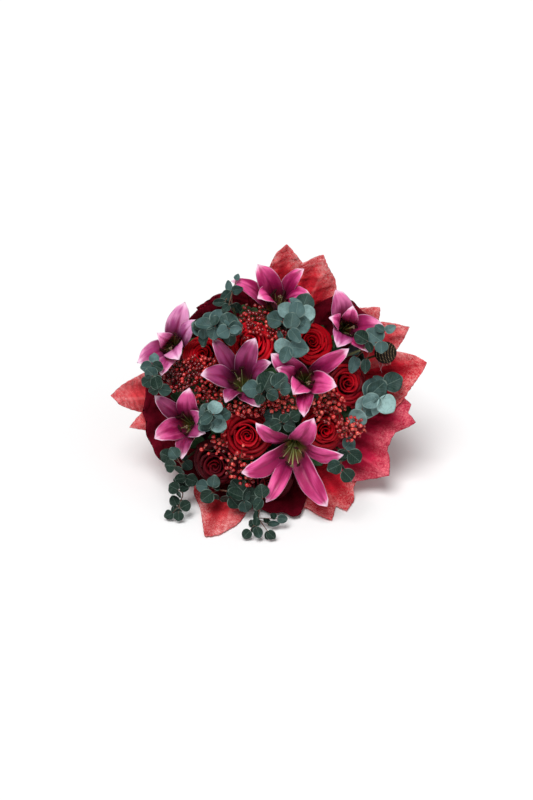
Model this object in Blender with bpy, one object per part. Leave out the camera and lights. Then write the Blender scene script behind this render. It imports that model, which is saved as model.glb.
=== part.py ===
"""Hand-tied round bouquet lying on a table: lilies, roses, berries and eucalyptus in a paper wrap.

The flowers are laid out in the bouquet's own frame, in millimetres: u runs to the right and v up
across its face, and w runs along its axis from the tie to the flowers. The finished solids are
turned so that the face looks forward and up, and the stems and the lower rim of the paper rest on
the surface at height 0.
"""

import math

import bmesh
import bpy
import numpy as np

# Driving dimensions, in millimetres and degrees.
LEAN = 30.0                 # the axis of the lying bouquet above the surface
TIE_HEIGHT = 76.0           # the middle of the tie above the surface
SHIFT = (-11.0, 98.7)       # puts the middle of the bouquet's outline over the origin
DOME_TOP = 236.0            # from the tie to the top of the dome of flowers
DOME_RADIUS = 150.0
DOME_FALL = 48.0            # how much lower the dome is at its rim
STEM_END = -105.0           # where the stems are cut
STEM_TWIST = 40.0           # turn of the stems below the tie
STEM_SPREAD = 2.05          # how much wider the stems stand at their cut ends than at the tie
PAPER_THICK = 0.7
TWINE_THICK = 1.6
TWINE_GAP = 0.6             # from the stems to the twine's inner corners, which clears its flats too
RING_STEP = 20.0            # degrees between the corners of the twine and the ribbon
TWINE_HEIGHT = 6.0
RIBBON_THICK = 0.8
RIBBON_HEIGHT = 14.0
LEAF_THICK = 1.3
PETAL_THICK = 1.5
BERRY_RADIUS = 3.1
TWIG_RADIUS = 0.9
RUN_STEP = 11.0             # between the bends of a spray's main twig
STALK_STEP = 2.6            # between the places that stalks leave a stem from
LEAF_LIFT = 3.4             # how far a leaf lies clear over what is under it
LEAF_REST = 12.0            # least height of a leaf's middle above the surface
STALK_RADIUS = 0.75
CLEAR = 3.0                 # room kept between pieces of different sprays
FOLD_STEP = 12.0            # degrees between the creases of the paper
SEAM_SHARE = 0.82           # share of its facets that a joined solid keeps

# The picture's scale, and the pixel that the bouquet's axis passes through.
MM_PER_PIXEL = 1.45
AXIS_COLUMN = 262.0
AXIS_ROW = 392.0

# Each lily: the foot of its flower on the face, how far the foot is sunk below the dome, and the
# six tips of its tepals.
LILIES = {
    "lily_top": ((24, 116), 60, ((-45, 161), (-6, 185), (61, 178), (71, 138), (41, 97), (-7, 134))),
    "lily_left": ((-130, 66), 45, ((-111, 130), (-92, 104), (-151, 85), (-180, 42), (-145, 23), (-119, 46))),
    "lily_middle_left": ((-27, 2), 60, ((-71, 77), (-9, 77), (14, 42), (-88, 24), (-52, -16), (-3, -22))),
    "lily_middle_right": ((62, 14), 56, ((13, 55), (20, 34), (125, 62), (107, 8), (60, -36), (44, -4))),
    "lily_right": ((116, 90), 48, ((106, 148), (96, 107), (176, 95), (153, 57), (108, 64), (131, 125))),
    "lily_lower_left": ((-100, -50), 58, ((-155, -5), (-104, 6), (-155, -67), (-115, -97), (-81, -60), (-84, -30))),
    "lily_bottom": ((48, -70), 50, ((-9, -44), (74, -37), (117, -90), (95, -166), (6, -160), (-30, -116))),
}
# Each rose: its middle on the face, its radius, and how far its top is below the dome.
ROSES = {
    "rose_left": ((-89, 57), 27, 17),
    "rose_top": ((-17, 73), 28, 6),
    "rose_top_right": ((75, 76), 26, 22),
    "rose_right": ((128, 14), 28, 8),
    "rose_middle": ((-22, -64), 30, 4),
    "rose_lower_right": ((95, -57), 28, 15),
    "rose_lower_left": ((-70, -110), 30, 8),
    "rose_bottom": ((12, -135), 28, 12),
}
# Each leafy spray: the points that its twig runs through and its leaves, both by picture column
# and row. A leaf also has its radius, its slope and its width as a share of its length.
SPRAYS = {
    "eucalyptus_top": (((283, 343), (290, 330), (294, 316)), (
        (304, 304, 13, 20, 1.0), (306, 315, 12, 35, 1.0), (300, 326, 13, 30, 1.0), (275, 320, 12, 25, 1.0),
        (286, 311, 11, 15, 1.0), (296, 312, 11, 10, 1.0), (283, 347, 12, 25, 1.0),
        (297, 349, 13, 20, 1.0), (291, 323, 11, 15, 1.0))),
    "eucalyptus_upper_left": (((206, 329), (218, 327), (230, 329)), (
        (201, 328, 12, 25, 1.0), (211, 322, 12, 20, 1.0), (220, 320, 13, 20, 1.0), (229, 324, 13, 20, 1.0),
        (235, 330, 10, 30, 1.0), (205, 334, 9, 45, 0.9), (215, 333, 10, 35, 1.0), (225, 333, 10, 35, 1.0))),
    "eucalyptus_tip": (((232, 305), (231, 293), (236, 283)), (
        (237, 278, 5, 20, 0.8), (229, 287, 8, 20, 0.6), (227, 296, 9, 25, 0.8), (220, 303, 9, 25, 0.6),
        (236, 307, 8, 30, 0.9), (227, 309, 7, 30, 0.8))),
    "eucalyptus_left": (((161, 388), (154, 376), (154, 365)), (
        (155, 359, 7, 20, 1.0), (148, 367, 8, 20, 1.0), (158, 367, 8, 20, 1.0), (153, 374, 9, 15, 1.0),
        (149, 382, 8, 30, 1.0), (158, 381, 8, 25, 1.0), (166, 390, 9, 30, 0.9))),
    "eucalyptus_lower_left": (((213, 418),), (
        (210, 413, 14, 20, 1.0), (219, 424, 11, 15, 1.0), (225, 414, 9, 35, 1.0), (206, 422, 10, 30, 1.0),
        (216, 408, 11, 35, 0.9))),
    "eucalyptus_middle": (((266, 390),), (
        (252, 389, 12, 25, 1.0), (267, 382, 14, 20, 1.0), (279, 382, 12, 20, 1.0), (260, 398, 9, 40, 0.8),
        (284, 389, 9, 30, 1.0), (272, 395, 9, 30, 0.9))),
    "eucalyptus_centre": (((281, 420),), (
        (271, 416, 10, 30, 1.0), (283, 416, 14, 15, 1.0), (289, 425, 9, 30, 1.0), (294, 416, 8, 35, 1.0),
        (276, 424, 9, 30, 1.0))),
    "eucalyptus_right": (((370, 396),), (
        (376, 390, 17, 15, 1.0), (394, 382, 14, 20, 1.0), (369, 406, 17, 25, 1.0), (387, 404, 14, 25, 1.0),
        (357, 401, 10, 35, 0.9), (359, 418, 13, 20, 1.0), (385, 375, 11, 30, 1.0))),
    "eucalyptus_upper_right": (((362, 352), (368, 344), (377, 339)), (
        (374, 337, 13, 15, 1.0), (388, 330, 10, 30, 0.6), (361, 338, 11, 30, 0.9), (380, 347, 9, 30, 1.0),
        (355, 363, 13, 25, 0.6), (366, 365, 11, 25, 0.6))),
    "eucalyptus_lower_right": (((343, 452), (341, 464)), (
        (350, 445, 10, 25, 1.0), (355, 457, 11, 25, 1.0), (334, 466, 10, 20, 1.0), (346, 474, 10, 20, 1.0),
        (340, 455, 9, 25, 1.0))),
    "eucalyptus_trailing_left": (((182, 462), (178, 478), (182, 496), (176, 510)), (
        (165, 457, 10, 25, 1.0), (175, 453, 9, 25, 1.0), (172, 465, 9, 30, 1.0), (186, 466, 8, 30, 1.0),
        (182, 483, 11, 20, 1.0), (173, 489, 9, 30, 1.0), (190, 481, 9, 30, 1.0),
        (173, 503, 8, 25, 0.9), (184, 507, 8, 25, 1.0), (168, 516, 7, 20, 1.0), (178, 517, 7, 20, 1.0))),
    "eucalyptus_trailing_bottom": (((214, 491), (228, 493), (244, 496), (258, 508), (257, 524)), (
        (202, 487, 9, 25, 1.0), (213, 483, 9, 25, 1.0), (207, 497, 10, 25, 1.0),
        (238, 488, 12, 20, 1.0), (250, 497, 12, 25, 1.0), (234, 503, 10, 25, 1.0), (262, 491, 10, 30, 1.0),
        (245, 507, 9, 30, 1.0), (256, 517, 8, 10, 0.5), (247, 533, 7, 15, 1.0), (258, 531, 8, 15, 0.8),
        (273, 524, 8, 10, 0.5), (282, 519, 7, 15, 0.9), (271, 534, 7, 15, 0.9))),
}
# Each spray of berries: its clusters, by picture column and row, with half width, half height, in
# pixels, and the number of berries.
BERRIES = {
    "berries_top": ((252, 323, 13, 13, 9), (277, 335, 6, 4, 2)),
    "berries_left": ((177, 376, 15, 10, 9),),
    "berries_middle_left": ((210, 392, 14, 13, 8), (197, 366, 14, 7, 4)),
    "berries_middle": ((246, 409, 13, 6, 4), (281, 402, 15, 7, 6)),
    "berries_right": ((330, 406, 11, 13, 9), (352, 429, 10, 8, 4)),
    "berries_lower_left": ((226, 447, 17, 9, 4), (242, 472, 12, 12, 5)),
}
SEED_HEAD = ((181, 58), 16.5)
# Each sheet of paper: the outline of its upper edge by angle round the axis and distance from it.
SHEETS = {
    "paper_left": ((158, 150), (170, 172), (181.5, 219), (185.5, 205), (189.5, 175), (194.8, 200), (199, 172),
                   (207, 165)),
    "paper_top": ((48, 170), (54.5, 184), (66, 216), (72.5, 195), (80.5, 215), (84.5, 200), (90, 160), (97, 150)),
    "paper_upper_right": ((12, 190), (17, 201), (23.8, 230), (28, 212), (31.2, 196), (35.7, 209), (41, 186), (52, 175)),
    "paper_right": ((-10, 185), (-3, 202), (6.5, 229), (10.3, 238), (14.3, 223), (17.5, 200), (25, 180)),
    "paper_lower_right": ((-45, 185), (-39, 199), (-33, 221), (-25, 199), (-17, 200), (-11.2, 225), (-8, 212),
                          (-4.6, 215), (0, 195)),
    "paper_bottom_right": ((-79, 165), (-69, 180), (-61.3, 208), (-57, 196), (-54.5, 210), (-49.6, 206),
                           (-46.5, 193), (-36, 180)),
    "paper_bottom_left": ((-126, 168), (-118, 191), (-111.6, 217), (-107, 211), (-100, 189), (-97, 172), (-88, 160)),
}
# The dark collar, lower at the top and on the right where the bright sheets show, and the room of the paper.
COLLAR_LEFT = ((-262, 160), (-248, 153), (-228, 151), (-205, 153), (-190, 165), (-163, 176), (-148.6, 178),
               (-135, 165), (-118, 162), (-90, 168), (-72.6, 183))
COLLAR_TOP = ((35.8, 191), (41, 185), (54, 184), (70, 165), (98, 158), (128, 155))
COLLAR = (*COLLAR_LEFT, (-62, 150), (-50, 128), (-30, 124), (0, 128), (20, 140), (30, 165), (35.8, 188), (41, 185),
          (52, 180), (59, 146), (76, 142), (90, 152), (98, 158), (128, 155))
PAPER_ROOM = (*COLLAR_LEFT, (-55, 175), (-30, 170), (0, 168), (20, 175), *COLLAR_TOP)


# Shapes in the bouquet's frame

def unit(vectors):
    """Each vector divided by its length."""
    return vectors / np.maximum(np.linalg.norm(vectors, axis=-1, keepdims=True), 1e-9)


def on_face(column, row):
    """A picture pixel as a place on the face of the bouquet."""
    return np.array([(column - AXIS_COLUMN) * MM_PER_PIXEL, (AXIS_ROW - row) * MM_PER_PIXEL])


def dome(spot):
    """Height of the dome of flowers: its top less a fall that grows with the square of the radius."""
    return DOME_TOP - DOME_FALL * np.dot(spot, spot) / DOME_RADIUS ** 2


def to_world(points):
    """Turns the face forward and up by the lean, lifts the tie to its height, and shifts the outline."""
    u, v, w = np.moveaxis(np.asarray(points, float), -1, 0)
    lean = math.radians(LEAN)
    return np.stack([
        u + SHIFT[0],
        v * math.sin(lean) - w * math.cos(lean) + SHIFT[1],
        v * math.cos(lean) + w * math.sin(lean) + TIE_HEIGHT,
    ], axis=-1)


def floor_height(points):
    """Height above the surface of points in the bouquet's frame."""
    return to_world(points)[..., 2]


def bezier(p0, p1, p2, p3, t):
    """Cubic Bezier curve at the parameters t."""
    t = np.asarray(t)[:, None]
    return (1 - t) ** 3 * p0 + 3 * (1 - t) ** 2 * t * p1 + 3 * (1 - t) * t ** 2 * p2 + t ** 3 * p3


# Lilies

LILY_RING = 4.6             # middle of the ring that the tepals grow from
RECEPTACLE = 2.7
TEPAL_WIDTHS = (17.0, 12.5)  # half widths of the three inner and the three outer tepals
TEPAL_CELLS = (4, 2)        # a tepal's facets along and across
PETAL_CELLS = (3, 2)


def lily_frame(name):
    """Foot, tips and axis of a lily: a tip stands out so far that foot and tip are a tepal's chord apart."""
    (u, v), sink, tips = LILIES[name]
    foot = np.array([u, v, dome((u, v)) - sink])
    tips = np.array(tips, float)
    reach = np.linalg.norm(tips - foot[:2], axis=1)
    chord = 84 + 0.27 * reach
    depth = np.sqrt(np.maximum(chord ** 2 - reach ** 2, 38.0 ** 2))
    tips = np.column_stack([tips, foot[2] + depth])
    axis = unit((unit(tips - foot)).sum(axis=0))
    return foot, tips, axis


def tepal_order(foot, tips, axis):
    """Tips sorted round the axis, each with its own root direction, the six roots 60 degrees apart."""
    across = unit(np.cross([0.0, 1.0, 0.0], axis))
    up = np.cross(axis, across)
    arms = tips - foot
    angles = np.arctan2(arms @ up, arms @ across)
    order = np.argsort(angles)
    turns = np.arange(6) * math.pi / 3
    base = np.angle(np.exp(1j * (angles[order] - turns)).sum())
    return [(int(k), math.cos(base + turn) * across + math.sin(base + turn) * up)
            for k, turn in zip(order, turns)]


def tepal_surface(foot, axis, root, tip, outer, rows, columns, phase=0.0):
    """Middle surface of a tepal, rows from foot to tip by columns across.

    The spine is a Bezier curve that leaves the ring along the axis and arches over at the tip. Half
    the width is a share of its greatest that swells as a sine and closes at the tip, the edges stand
    up near the foot and turn back a little near the tip. The outer three are narrower and start
    further from the axis.
    """
    length = np.linalg.norm(tip - foot)
    half_width = TEPAL_WIDTHS[outer]
    start = foot + (LILY_RING + 1.0 * (2 * outer - 1)) * root
    lean_out = tip - foot - axis * np.dot(tip - foot, axis)
    out = unit(lean_out + 0.25 * np.linalg.norm(lean_out) * root + 4 * root)
    p1 = start + 0.42 * length * unit(0.95 * axis + (0.17 + 0.12 * outer) * root)
    p2 = tip - 0.34 * length * unit(out * 0.92 - axis * 0.30)
    t = np.linspace(0, 1, rows + 1)
    spine = bezier(start, p1, p2, tip, t)
    tangent = unit(np.gradient(spine, axis=0))
    blend = np.clip(t * 1.5, 0, 1)[:, None]
    side = unit(np.cross(axis, unit(root * (1 - blend) + out * blend)))
    side = unit(side - tangent * (side * tangent).sum(axis=1, keepdims=True))
    inner = unit(np.cross(side, tangent))
    inner *= np.sign(np.sum(inner * -unit(out - 1.2 * axis), axis=1, keepdims=True) + 1e-6)[0]
    swell = 0.10 + 0.90 * np.sin(math.pi * t ** 1.1) ** 1.4
    width = half_width * swell * np.clip((1 - t) * 6.0, 0, 1) ** 0.55 + 0.4
    cup = (0.45 - 0.3 * outer) * (1 - t) ** 1.5 - 0.10 * np.sin(math.pi * t)
    x = np.linspace(-1, 1, columns + 1)
    lift = width[:, None] * cup[:, None] * x ** 2 + 0.9 * np.sin(9 * t[:, None] + phase) * x ** 3 * t[:, None]
    return (spine[:, None] + side[:, None] * (width[:, None] * x)[..., None]
            + inner[:, None] * lift[..., None])


def lily_tepals(name, rows, columns):
    """The six tepal surfaces of a lily."""
    foot, tips, axis = lily_frame(name)
    return [tepal_surface(foot, axis, root, tips[k], place % 2, rows, columns, place * 1.3)
            for place, (k, root) in enumerate(tepal_order(foot, tips, axis))]


def lily_filaments(name, points):
    """Six filaments and, last, the pistil: each opens out from the axis as the power 1.6 of its height.

    Each takes the widest of a few spreads and turns that keep it clear of the tepals.
    """
    foot, tips, axis = lily_frame(name)
    tepals = np.concatenate([grid[8:].reshape(-1, 3) for grid in lily_tepals(name, 40, 10)])
    t = np.linspace(0, 1, points)[:, None]
    order = tepal_order(foot, tips, axis)
    wanted = [(58 - 5 * (place % 2), 13.5, root + 0.3 * unit(tips[k] - foot))
              for place, (k, root) in enumerate(order)] + [(72, 6.0, order[1][1] + order[2][1])]
    curves = []
    for height, spread, out in wanted:
        out = unit(out - axis * np.dot(out, axis))
        best = None
        for share in (1.0, 0.8, 0.6, 0.4, 0.2):
            for turn in (0.0, 0.25, -0.25, 0.5, -0.5):
                side = out * math.cos(turn) + np.cross(axis, out) * math.sin(turn)
                curve = foot + axis * (2 + (height - 2) * t) + side * (1.3 + spread * share * t ** 1.6)
                gap = np.linalg.norm(along(curve, 3.0)[3:, None] - tepals[None], axis=2).min()
                if best is None or gap > best[0] + 0.3:
                    best = (gap, curve)
                if gap > 2.6:
                    break
            if best[0] > 2.6:
                break
        curves.append(best[1])
    return curves


# Roses

PETALS = (  # how many, their radius and height as shares of the rose's radius, and how far they fall back
    (5, 1.00, 1.30, 0.20),
    (3, 0.70, 1.50, 0.06),
)
ROSE_CORE = 0.42


def rose_frame(name):
    """Foot and axis of a rose: it points away from the tie, turned a third of the way to the viewer."""
    (u, v), radius, drop = ROSES[name]
    top = np.array([u, v, dome((u, v)) - drop])
    axis = unit(unit(top) + np.array([0, 0, 0.5]))
    return top - axis * radius * 1.52, axis, radius


def petal_surface(foot, axis, radius, layer, place, rows, columns):
    """Middle surface of a rose petal, rows from foot to lip by columns across.

    The radius grows as a sine from the receptacle to the layer's own and leans out at the lip. One
    side of the petal lies outside its neighbour and the other inside, by a slope round the flower.
    """
    count, wide, tall, fall = PETALS[layer]
    across = unit(np.cross([0.0, 1.0, 0.0], axis))
    up = np.cross(axis, across)
    t = np.linspace(0, 1, rows + 1)[:, None]
    x = np.linspace(-1, 1, columns + 1)[None]
    middle = math.radians(360.0 * place / count + 31 * layer + 17)
    angle = middle + math.radians(52) * x * (0.25 + 0.75 * np.sqrt(t))
    lip = np.clip((t - 0.7) / 0.3, 0, 1)
    out = 4.0 + (wide * radius - 4.0) * np.sin(0.5 * math.pi * t ** 0.72) + fall * radius * lip ** 2 * 0.5
    out = out + 1.5 * x * np.clip(2 * t, 0, 1)
    high = tall * radius * (t - 0.10 * x ** 2 * t ** 2) - fall * radius * lip ** 2
    return (foot + axis * high[..., None] + across * (out * np.cos(angle))[..., None]
            + up * (out * np.sin(angle))[..., None])


# Paper

def support(stems, angle, level):
    """How far the stems reach at a height along the axis, in the direction of an angle."""
    reach = -1e9
    for stem in stems:
        place = stem_at(stem, level)
        slope = np.linalg.norm(stem_at(stem, level + 1) - place)
        reach = max(reach, place[0] * math.cos(angle) + place[1] * math.sin(angle)
                    + stem["radius"] * math.hypot(1, slope))
    return reach


PAPER_LEVELS = (-38.0, 0.0, 16.0)
RIM_ROOM = 8.0              # least distance between the last rows of a sheet
LOW_SHEETS = ("paper_lower_right", "paper_bottom_right", "paper_bottom_left")
LOW_LEVEL = 230.0           # where these sheets come down on the surface
RIM_START = 190.0


def slope_angle(length):
    """Angle between the paper's run and the axis, by the distance along it from the tie."""
    if length < 0:
        return -SKIRT
    return math.radians(24 + 22 * min(length / 22, 1) + 5 * min(length / 250, 1) + 10 * max(length - 200, 0) / 120)


def paper_run():
    """Radius and height along the paper's run from the tie, every millimetre up to its longest tip."""
    lengths = np.arange(0, 340)
    angles = np.array([slope_angle(length) for length in lengths])
    return (np.concatenate([[0], np.cumsum(np.sin(angles))[:-1]]),
            np.concatenate([[0], np.cumsum(np.cos(angles))[:-1]]), angles)


RUN = paper_run()
WAIST = 17.0                # mean radius of the stems at the tie, with the twine
SKIRT = math.radians(18)    # how far the paper below the tie opens out
CREASES = np.random.default_rng(5).uniform(-1, 1, int(360 / FOLD_STEP))


def rim_length(waists, degrees, radius, offset):
    """Length along the paper's run at which it reaches a radius."""
    lengths = np.arange(60.0, 335.0, 5.0)
    reach = [np.hypot(*paper_point(waists, degrees, length, offset)[:2]) for length in lengths]
    return float(np.interp(radius, reach, lengths))


def paper_point(waists, degrees, length, offset):
    """A point of the paper by its angle, its length from the tie and its layer's offset.

    The paper is flat between creases FOLD_STEP apart.
    """
    step = degrees / FOLD_STEP
    low = math.floor(step)
    share = step - low
    return (crease_point(waists, low, length, offset) * (1 - share)
            + crease_point(waists, low + 1, length, offset) * share)


def crease_point(waists, crease, length, offset):
    """A point of a crease by its number, its length from the tie and its layer's offset.

    The run starts at the stems' own outline and flares. Each crease stands a little further in or
    out, the lower rim sags on to the surface, and the offset, which grows with the length, keeps the
    layers apart, the inner ones above the outer ones where they lie on the surface.
    """
    degrees = crease * FOLD_STEP
    waist = waists[crease % len(CREASES)]
    at = max(length, 0)
    angle = slope_angle(length)
    out = np.interp(at, np.arange(len(RUN[0])), RUN[0]) + waist + max(-length, 0) * math.tan(SKIRT)
    high = np.interp(at, np.arange(len(RUN[1])), RUN[1]) + min(length, 0)
    shift = CREASES[crease % len(CREASES)] * 7.0 * (at / 280) ** 1.3 + offset * (1 + 1.6 * (at / 250))
    out, high = out + shift * math.cos(angle), high - shift * math.sin(angle)
    turn = math.radians(degrees)
    sag = (at / 270) ** 3 * (38 * math.exp(-((degrees_apart(degrees, -57)) / 22) ** 2)
                             + 12 * math.exp(-((degrees_apart(degrees, -110)) / 16) ** 2))
    point = np.array([out * math.cos(turn), out * math.sin(turn), high - sag])
    below = PAPER_THICK / 2 + 0.05 + LAYER_REST * (OUTER_OFFSET - offset) - floor_height(point)
    if below > 0:
        point[2] += below / math.sin(math.radians(LEAN))
    return point


def degrees_apart(a, b):
    """Difference of two angles, between -180 and 180."""
    return (a - b + 180) % 360 - 180


SHEET_OFFSET = 4.0
SHEET_SLOPE = 0.062
OUTER_OFFSET = 5.6
PAPER_GAP = 1.1             # from the twine to the inmost paper
RIBBON_OFFSET = 7.7
LAYER_REST = 1.6            # height between layers on the surface, to their difference in offset
COLLAR_SNAP = 7.0           # how near a crease a point of the collar gives way to it
RIM_SPREAD = 1.03           # the rim is further from the viewer than the flowers, and so looks smaller


def sheet_offset(name, degrees):
    """Layer of a bright sheet: its left side lies under the next one and its right side over the last."""
    outline = SHEETS[name]
    middle = (outline[0][0] + outline[-1][0]) / 2
    return SHEET_OFFSET + SHEET_SLOPE * (degrees - middle)


def collar_offset(name, degrees):
    """Layer of the collar, which starts inside and ends outside its own start."""
    return 1.3 * (degrees - COLLAR[0][0]) / 360


def sheet_columns(outline, snap):
    """Angles of a sheet's columns: the creases that it crosses and the points of its upper edge.

    A crease or a point within snap degrees of the other gives way to it: points for the creases of
    the bright sheets, creases for the points of the collar.
    """
    first, last = outline[0][0], outline[-1][0]
    creases = np.arange(math.ceil(first / FOLD_STEP), math.floor(last / FOLD_STEP) + 1) * FOLD_STEP
    points = [angle for angle, _ in outline if np.abs(creases - angle).min() > snap or angle in (first, last)]
    return sorted({*points, *(c for c in creases if min(c - first, last - c) > snap)})


def sheet_surface(outline, offset, waists, name, snap=1.5):
    """Middle surface of a sheet, rows from the skirt to the rim by columns round the axis."""
    grid = []
    for degrees in sheet_columns(outline, snap):
        layer = offset(name, degrees)
        radius = np.interp(degrees, [a for a, _ in outline], [r for _, r in outline]) * RIM_SPREAD
        top = rim_length(waists, degrees, radius, layer)
        turns = [RIM_START, LOW_LEVEL] if name in LOW_SHEETS else [RIM_START]
        turns = [min(turn, top - RIM_ROOM * (len(turns) - k)) for k, turn in enumerate(turns)]
        grid.append([paper_point(waists, degrees, length, layer) for length in (*PAPER_LEVELS, *turns, top)])
    return np.array(grid).transpose(1, 0, 2)


# Room for the sprays

CELL = 2.0
LOW = np.array([-280.0, -280.0, -20.0])
CELLS = (280, 280, 190)


class Room:
    """Which cells of the bouquet's space are taken and by whom, and the highest thing over each spot."""

    def __init__(self):
        self.taken = np.zeros(CELLS, np.int16)
        self.top = np.full(CELLS[:2], -50.0)
        span = np.arange(-2, 3)
        ball = np.stack(np.meshgrid(span, span, span, indexing="ij"), -1).reshape(-1, 3)
        self.ball = ball[np.linalg.norm(ball, axis=1) * CELL <= CLEAR + 0.3]

    def cells(self, points):
        """The cell of each point."""
        return np.clip(np.floor((np.reshape(points, (-1, 3)) - LOW) / CELL).astype(int), 2, np.array(CELLS) - 3)

    def mark(self, points, owner):
        """Takes the cells within the clear distance of the points; cells wanted twice become nobody's."""
        points = np.reshape(points, (-1, 3))
        cells = (self.cells(points)[:, None] + self.ball[None]).reshape(-1, 3)
        cells = np.unique(cells, axis=0)
        now = self.taken[tuple(cells.T)]
        self.taken[tuple(cells.T)] = np.where((now == 0) | (now == owner), owner, -1)
        spots = self.cells(points)[:, :2]
        for du in (0, 1):
            for dv in (0, 1):
                np.maximum.at(self.top, (spots[:, 0] + du, spots[:, 1] + dv), points[:, 2])

    def free(self, points, owner):
        """Whether all the points are clear of everything but their owner's own pieces."""
        found = self.taken[tuple(self.cells(points).T)]
        return bool(np.all((found == 0) | (found == owner)))

    def above(self, points):
        """How far the points must rise to lie clear over everything under them."""
        spots = self.cells(points)[:, :2]
        return float(np.max(self.top[spots[:, 0], spots[:, 1]] - np.reshape(points, (-1, 3))[:, 2]))


def finer(grid, down=8, across=8):
    """Points on the flat cells of a grid, so many to a cell down and across."""
    rows = np.linspace(0, grid.shape[0] - 1, (grid.shape[0] - 1) * down + 1)
    columns = np.linspace(0, grid.shape[1] - 1, (grid.shape[1] - 1) * across + 1)
    i = np.minimum(rows.astype(int), grid.shape[0] - 2)
    j = np.minimum(columns.astype(int), grid.shape[1] - 2)
    a, b = (rows - i)[:, None, None], (columns - j)[None, :, None]
    return (grid[i][:, j] * (1 - a) * (1 - b) + grid[i + 1][:, j] * a * (1 - b)
            + grid[i][:, j + 1] * (1 - a) * b + grid[i + 1][:, j + 1] * a * b)


def along(points, step=2.5):
    """Points every step along a polyline."""
    points = np.asarray(points, float)
    lengths = np.concatenate([[0], np.cumsum(np.linalg.norm(np.diff(points, axis=0), axis=1))])
    count = max(int(lengths[-1] / step), 1) + 1
    places = np.linspace(0, lengths[-1], count)
    return np.stack([np.interp(places, lengths, points[:, i]) for i in range(3)], axis=1)


def rise(start, head, level):
    """Place of a stem at a height: it leaves the tie steeply and leans out by a square of its height."""
    share = np.asarray(level / head[2])[..., None]
    return np.asarray(start) + (np.asarray(head)[:2] - start) * (0.45 * share + 0.55 * share ** 2)


def rise_curve(head):
    """A stem's curve from above the crowded tie to its head."""
    levels = np.arange(70.0, head[2], 3.0)
    return np.column_stack([rise(np.asarray(head)[:2] * 0.1, head, levels), levels])


def leaf_surface(leaf, rings=7, around=40):
    """Middle surface of a leaf: an ellipse with its rim raised over its middle as a shallow cup."""
    turn = np.linspace(0, 2 * math.pi, around, endpoint=False)
    share = np.linspace(0, 1, rings + 1)[1:, None]
    flat = (leaf["long"] * (share * np.cos(turn))[..., None] * leaf["radius"]
            + leaf["side"] * (share * np.sin(turn))[..., None] * leaf["radius"] * leaf["narrow"])
    cup = leaf["normal"] * (share ** 2 * leaf["radius"] * leaf["cup"] * np.ones_like(turn))[..., None]
    return np.concatenate([leaf["middle"][None], (leaf["middle"] + flat + cup).reshape(-1, 3)])


def make_leaf(middle, away, radius, slope, narrow, draw):
    """A leaf that faces the viewer, sloping down away from its twig."""
    away = np.array([away[0], away[1], 0.0])
    away = unit(away) if np.linalg.norm(away) > 0.5 else np.array([1.0, 0.0, 0.0])
    swing = draw.uniform(-0.35, 0.35)
    away = np.array([away[0] * math.cos(swing) - away[1] * math.sin(swing),
                     away[0] * math.sin(swing) + away[1] * math.cos(swing), 0.0])
    tilt = math.radians(slope + draw.uniform(-6, 6))
    normal = unit(math.sin(tilt) * away + np.array([0, 0, math.cos(tilt)]))
    long = unit(away - normal * np.dot(away, normal))
    return {"middle": np.array(middle, float), "long": long, "side": np.cross(normal, long), "normal": normal,
            "radius": radius, "narrow": narrow, "cup": draw.uniform(0.10, 0.24)}


def paper_height(radius):
    """Height of the plain paper cone at a radius."""
    return float(np.interp(radius - WAIST, RUN[0], RUN[1]))


def resting_height(spot):
    """Lowest height at which a leaf may lie: on the dome's rim, over the paper and over the surface."""
    radius = np.hypot(*spot)
    low = dome(spot) - 14
    if radius < 205:
        low = max(low, paper_height(radius) + 17)
    on_floor = -(spot[1] * math.cos(math.radians(LEAN)) + TIE_HEIGHT - LEAF_REST) / math.sin(math.radians(LEAN))
    return max(low, on_floor, 165.0 if radius > 190 else 0.0)


def column_for(room, owner, spot, height, twig_ends, reach=26.0):
    """The free stem nearest a spot that most twigs can leave from: tried on rings round the spot."""
    best = None
    for ring in np.arange(0, reach + 1, 4.0):
        for turn in np.arange(0, 2 * math.pi, math.pi / 5 if ring else 7):
            for drop in (0.0, 7.0, 14.0):
                head = np.array([spot[0] + ring * math.cos(turn), spot[1] + ring * math.sin(turn), height - drop])
                if not room.free(rise_curve(head), owner):
                    continue
                blocked = sum(not room.free(along([head, end])[1:], owner) for end in twig_ends)
                score = blocked * 30 + ring + drop * 0.6
                if best is None or score < best[0]:
                    best = (score, head)
    return None if best is None else best[1]


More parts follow.
